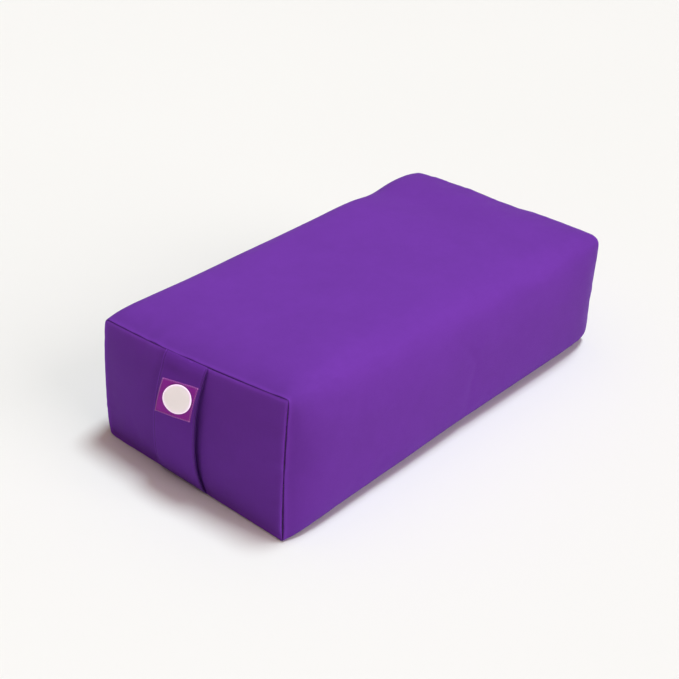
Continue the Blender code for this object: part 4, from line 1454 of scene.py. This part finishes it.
def zip_runs():
    """Topstitching on the folded edges of the opening, and a bar tack across each end."""
    runs = []
    for sign in (1, -1):
        z0 = ZIP_Z + sign * (SLIT + 0.0026)
        y = -0.2850
        while y < 0.2850:
            a, b = y + 0.0003, y + 0.0027
            runs.append(((ZIP_X + 0.00030, a + SHIFT, z0), (ZIP_X + 0.00030, b + SHIFT, z0), (-1, 0, 0)))
            y += 0.0030
    for y0 in (-0.2905, 0.2905):
        for k in range(9):
            y = y0 + (k % 3 - 1) * 0.0009
            z = ZIP_Z - 0.0030 + 0.00068 * k
            runs.append(((ZIP_X - 0.0001, y - 0.0009 + SHIFT, z), (ZIP_X - 0.0001, y + 0.0009 + SHIFT, z + 0.0002), (-1, 0, 0)))
    return runs


zip_thread = stitches("zip_topstitching", *zip(*zip_runs()), 0.00021, PURPLE_THREAD)
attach(zip_thread, "cushion")

# ---------------------------------------------------------------- liner and filling, inside
COTTON = woven("liner_calico", (0.760, 0.700, 0.590), pitch=0.00055, sheen=0.2, sheen_tint=(1, 0.97, 0.9), mottle=0.05, thread=0.16, relief=0.00006, dark=0.6)
COTTON_THREAD = thread_material("liner_thread", (0.82, 0.77, 0.67))


def stuffing(name):
    mat, tree, shader = nodes_of(name)
    k = Nodes(tree)
    co = k.object_coords()
    lumps = k.noise(co, 70.0, 5.0, 0.65)
    fibre = k.noise(co, 900.0, 4.0, 0.7)
    f = k.math("ADD", k.math("MULTIPLY", lumps, 0.6), k.math("MULTIPLY", fibre, 0.4))
    k.link(k.ramp(f, [(0.3, (0.62, 0.55, 0.43)), (0.7, (0.88, 0.84, 0.76))]), shader.inputs["Base Color"])
    k.link(k.bump(f, 0.0006), shader.inputs["Normal"])
    k.link(k.math("ADD", k.math("MULTIPLY", fibre, 0.1), 0.85), shader.inputs["Roughness"])
    shader.inputs["Sheen Weight"].default_value = 0.4
    shader.inputs["Specular IOR Level"].default_value = 0.1
    return mat


FILL_MAT = stuffing("raw_cotton")


def inner_form(U, Wp, V, inset):
    return form(U * (1 - inset / A2), Wp * (1 - inset / H2), V * (1 - inset / L2))


def build_inner():
    inset, slit_z = 0.0052, 0.104
    cols = [(-A2, slit_z - 0.0004 - p) for p in spaced(slit_z - 0.0004, [0, 0.003], CORNER[::2], 0.009)]
    cols += [(-A2 + p, 0.0) for p in spaced(W, CORNER[::2], CORNER[::2], 0.012)[1:]]
    cols += [(A2, p) for p in spaced(H, CORNER[::2], CORNER[::2], 0.012)[1:]]
    cols += [(A2 - p, H) for p in spaced(W, CORNER[::2], CORNER[::2], 0.012)[1:]]
    cols += [(-A2, H - p) for p in spaced(H - slit_z - 0.0004, CORNER[::2], [0, 0.003], 0.009)[1:]]
    cols = np.array(cols)
    V = np.array(spaced(2.0, [0, 0.006, 0.02, 0.05], [0, 0.006, 0.02, 0.05], 0.045)) - 1
    x, z = cols[:, 0][:, None], cols[:, 1][:, None]
    pts = inner_form(x / A2, z / H2 - 1, V[None, :], inset)
    zero = 0 * x + 0 * V[None, :]
    pts += 0.0
    arc = np.cumsum(np.concatenate([[0], np.hypot(*np.diff(cols, axis=0).T)]))[:, None] + zero
    outward = pts - np.array([0, 0, H2])
    outward[..., 1] = 0
    wrap_in = sheet_object("liner_wrap_cloth", pts, np.stack([arc + 20, V[None, :] * L2 + zero], -1), zero, COTTON, outward)
    made = [(wrap_in, "liner_wrap", "liner_cotton")]
    for e, node in enumerate(("liner_end_front", "liner_end_rear")):
        side = -1.0 if e == 0 else 1.0
        U, Wp = np.linspace(-1, 1, 29)[:, None], np.linspace(-1, 1, 17)[None, :]
        p = inner_form(U + 0 * Wp, Wp + 0 * U, side, inset + 0.0002)
        p[..., 1] += side * 0.0085 * (1 - np.abs(U) ** 2.3) * (1 - np.abs(Wp) ** 2.3)
        out = np.zeros_like(p)
        out[..., 1] = side
        end_in = sheet_object(node + "_cloth", p, np.stack([U * A2 + 25 + e + 0 * Wp, Wp * H2 + 0 * U], -1), 0 * U + 0 * Wp, COTTON, out)
        made.append((end_in, node, "liner_cotton"))
    for obj, node, slot in made:
        wall = obj.modifiers.new("thickness", "SOLIDIFY")
        wall.thickness = 0.0007
        wall.offset = -1.0
        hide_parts(node)
        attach(obj, "cushion")
    # the ladder stitch that closes the liner
    runs = []
    y = -0.270
    while y < 0.270:
        p = inner_form(-1.0, (slit_z - 0.0018) / H2 - 1, y / L2, inset)
        q = inner_form(-1.0, (slit_z + 0.0018) / H2 - 1, (y + 0.003) / L2, inset)
        r_ = inner_form(-1.0, (slit_z - 0.0018) / H2 - 1, (y + 0.006) / L2, inset)
        off = np.array([-0.0003, 0, 0])
        runs.append((p + off, q + off, (-1, 0, 0)))
        runs.append((q + off, r_ + off, (-1, 0, 0)))
        y += 0.006
    close = stitches("liner_closing_stitch", *zip(*runs), 0.00028, COTTON_THREAD, sides=5, rings=4)
    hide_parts("liner_closing_thread")
    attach(close, "cushion")
    # filling: a closed block, lumpy where the cotton shows through the liner
    deep = 0.0080
    n_ring = [(-1 + 2 * i / 26, -1.0) for i in range(26)] + [(1.0, -1 + 2 * i / 14) for i in range(14)]
    n_ring += [(1 - 2 * i / 26, 1.0) for i in range(26)] + [(-1.0, 1 - 2 * i / 14) for i in range(14)]
    bm = bmesh.new()
    bmesh.ops.create_cube(bm, size=2.0)
    bmesh.ops.subdivide_edges(bm, edges=bm.edges, cuts=21, use_grid_fill=True)
    co = np.array([v.co for v in bm.verts])
    p = inner_form(co[:, 0], co[:, 2], co[:, 1], deep)
    on_end = np.abs(np.abs(co[:, 1]) - 1) < 1e-5
    p[:, 1] += np.where(on_end, np.sign(co[:, 1]) * 0.0080 * (1 - np.abs(co[:, 0]) ** 2.3) * (1 - np.abs(co[:, 2]) ** 2.3), 0)
    inward = np.array([0, SHIFT, H2]) - p
    inward /= np.linalg.norm(inward, axis=1, keepdims=True)
    lump = 0.0006 * (1 + np.clip(noise2(p[:, 0] + p[:, 2], p[:, 1] + 0.3 * p[:, 2], 0.02, 71), -1, 1))
    p = p + inward * lump[:, None]
    for v, q in zip(bm.verts, p):
        v.co = q
    mesh = bpy.data.meshes.new("filling_cotton")
    bm.to_mesh(mesh)
    bm.free()
    mesh.materials.append(FILL_MAT)
    mesh.shade_smooth()
    fill = bpy.data.objects.new("filling_cotton", mesh)
    bpy.context.scene.collection.objects.link(fill)
    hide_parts("filling")
    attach(fill, "cushion")


build_inner()

# ---------------------------------------------------------------- floor, light, camera
def build_floor():
    mat, tree, shader = nodes_of("studio_floor")
    k = Nodes(tree)
    co = k.object_coords()
    soft = k.noise(co, 0.8, 2.0, 0.5)
    k.link(k.ramp(soft, [(0.3, (0.846, 0.842, 0.828)), (0.7, (0.856, 0.852, 0.838))]), shader.inputs["Base Color"])
    shader.inputs["Roughness"].default_value = 0.9
    shader.inputs["Specular IOR Level"].default_value = 0.1
    bm = bmesh.new()
    bmesh.ops.create_grid(bm, x_segments=8, y_segments=8, size=30.0)
    mesh = bpy.data.meshes.new("floor")
    bm.to_mesh(mesh)
    bm.free()
    mesh.materials.append(mat)
    floor = bpy.data.objects.new("floor", mesh)
    floor.location = (0, 0, -0.0002)
    bpy.context.scene.collection.objects.link(floor)


def sun(name, toward, strength, angle, colour=(1, 1, 1)):
    """A soft light from direction `toward`, seen from the object."""
    data = bpy.data.lights.new(name, "SUN")
    data.energy = strength
    data.angle = math.radians(angle)
    data.color = colour
    obj = bpy.data.objects.new(name, data)
    obj.rotation_mode = "QUATERNION"
    obj.rotation_quaternion = Vector(toward).to_track_quat("Z", "Y")
    bpy.context.scene.collection.objects.link(obj)
    return obj


build_floor()
world = bpy.data.worlds.new("studio")
world.use_nodes = True
k = Nodes(world.node_tree)
ambient = world.node_tree.nodes["Background"]
ambient.inputs["Color"].default_value = (1.17, 0.88, 0.77, 1.0)
# a wide overhead light: the room grows darker towards the horizon
height = k.split(k.new("ShaderNodeTexCoord").outputs["Generated"])[2]
k.link(k.math("MULTIPLY", k.math("POWER", k.math("MAXIMUM", height, 0.0), 1.7), 0.575), ambient.inputs["Strength"])
# low views look past the floor's edge, onto a wall as pale as the floor
wall = k.new("ShaderNodeBackground")
wall.inputs["Color"].default_value = (0.955, 0.948, 0.932, 1.0)
choose = k.new("ShaderNodeMixShader")
k.link(k.new("ShaderNodeLightPath").outputs["Is Camera Ray"], choose.inputs[0])
k.link(ambient.outputs[0], choose.inputs[1])
k.link(wall.outputs[0], choose.inputs[2])
k.link(choose.outputs[0], world.node_tree.nodes["World Output"].inputs["Surface"])
bpy.context.scene.world = world


def toward(azimuth, elevation):
    a, e = math.radians(azimuth), math.radians(elevation)
    return math.cos(a) * math.cos(e), math.sin(a) * math.cos(e), math.sin(e)


sun("key", toward(75.0, 74.8), 2.03, 15, (0.935, 1.085, 1.120))
sun("fill", toward(7.0, 27.0), 1.32, 40, (0.96, 0.88, 0.88))

AZ, EL, DIST = math.radians(42.57296), math.radians(29.62077), 1.70668
F_PX, OX, OY = 1288.725, -0.028656, 0.058205
back = Vector((math.sin(AZ) * math.cos(EL), -math.cos(AZ) * math.cos(EL), math.sin(EL)))
right = Vector((math.cos(AZ), math.sin(AZ), 0.0))
up = back.cross(right)
cam_data = bpy.data.cameras.new("camera")
cam_data.sensor_fit = "HORIZONTAL"
cam_data.sensor_width = 36.0
cam_data.lens = F_PX / 679 * 36.0
cam_data.clip_start, cam_data.clip_end = 0.05, 100
cam = bpy.data.objects.new("camera", cam_data)
bpy.context.scene.collection.objects.link(cam)
cam.matrix_world = Matrix.Translation(back * DIST + right * OX + up * OY + Vector((0, SHIFT, 0))) @ Matrix((right, up, back)).transposed().to_4x4()
bpy.context.scene.camera = cam
bpy.context.scene.view_settings.view_transform = "Standard"
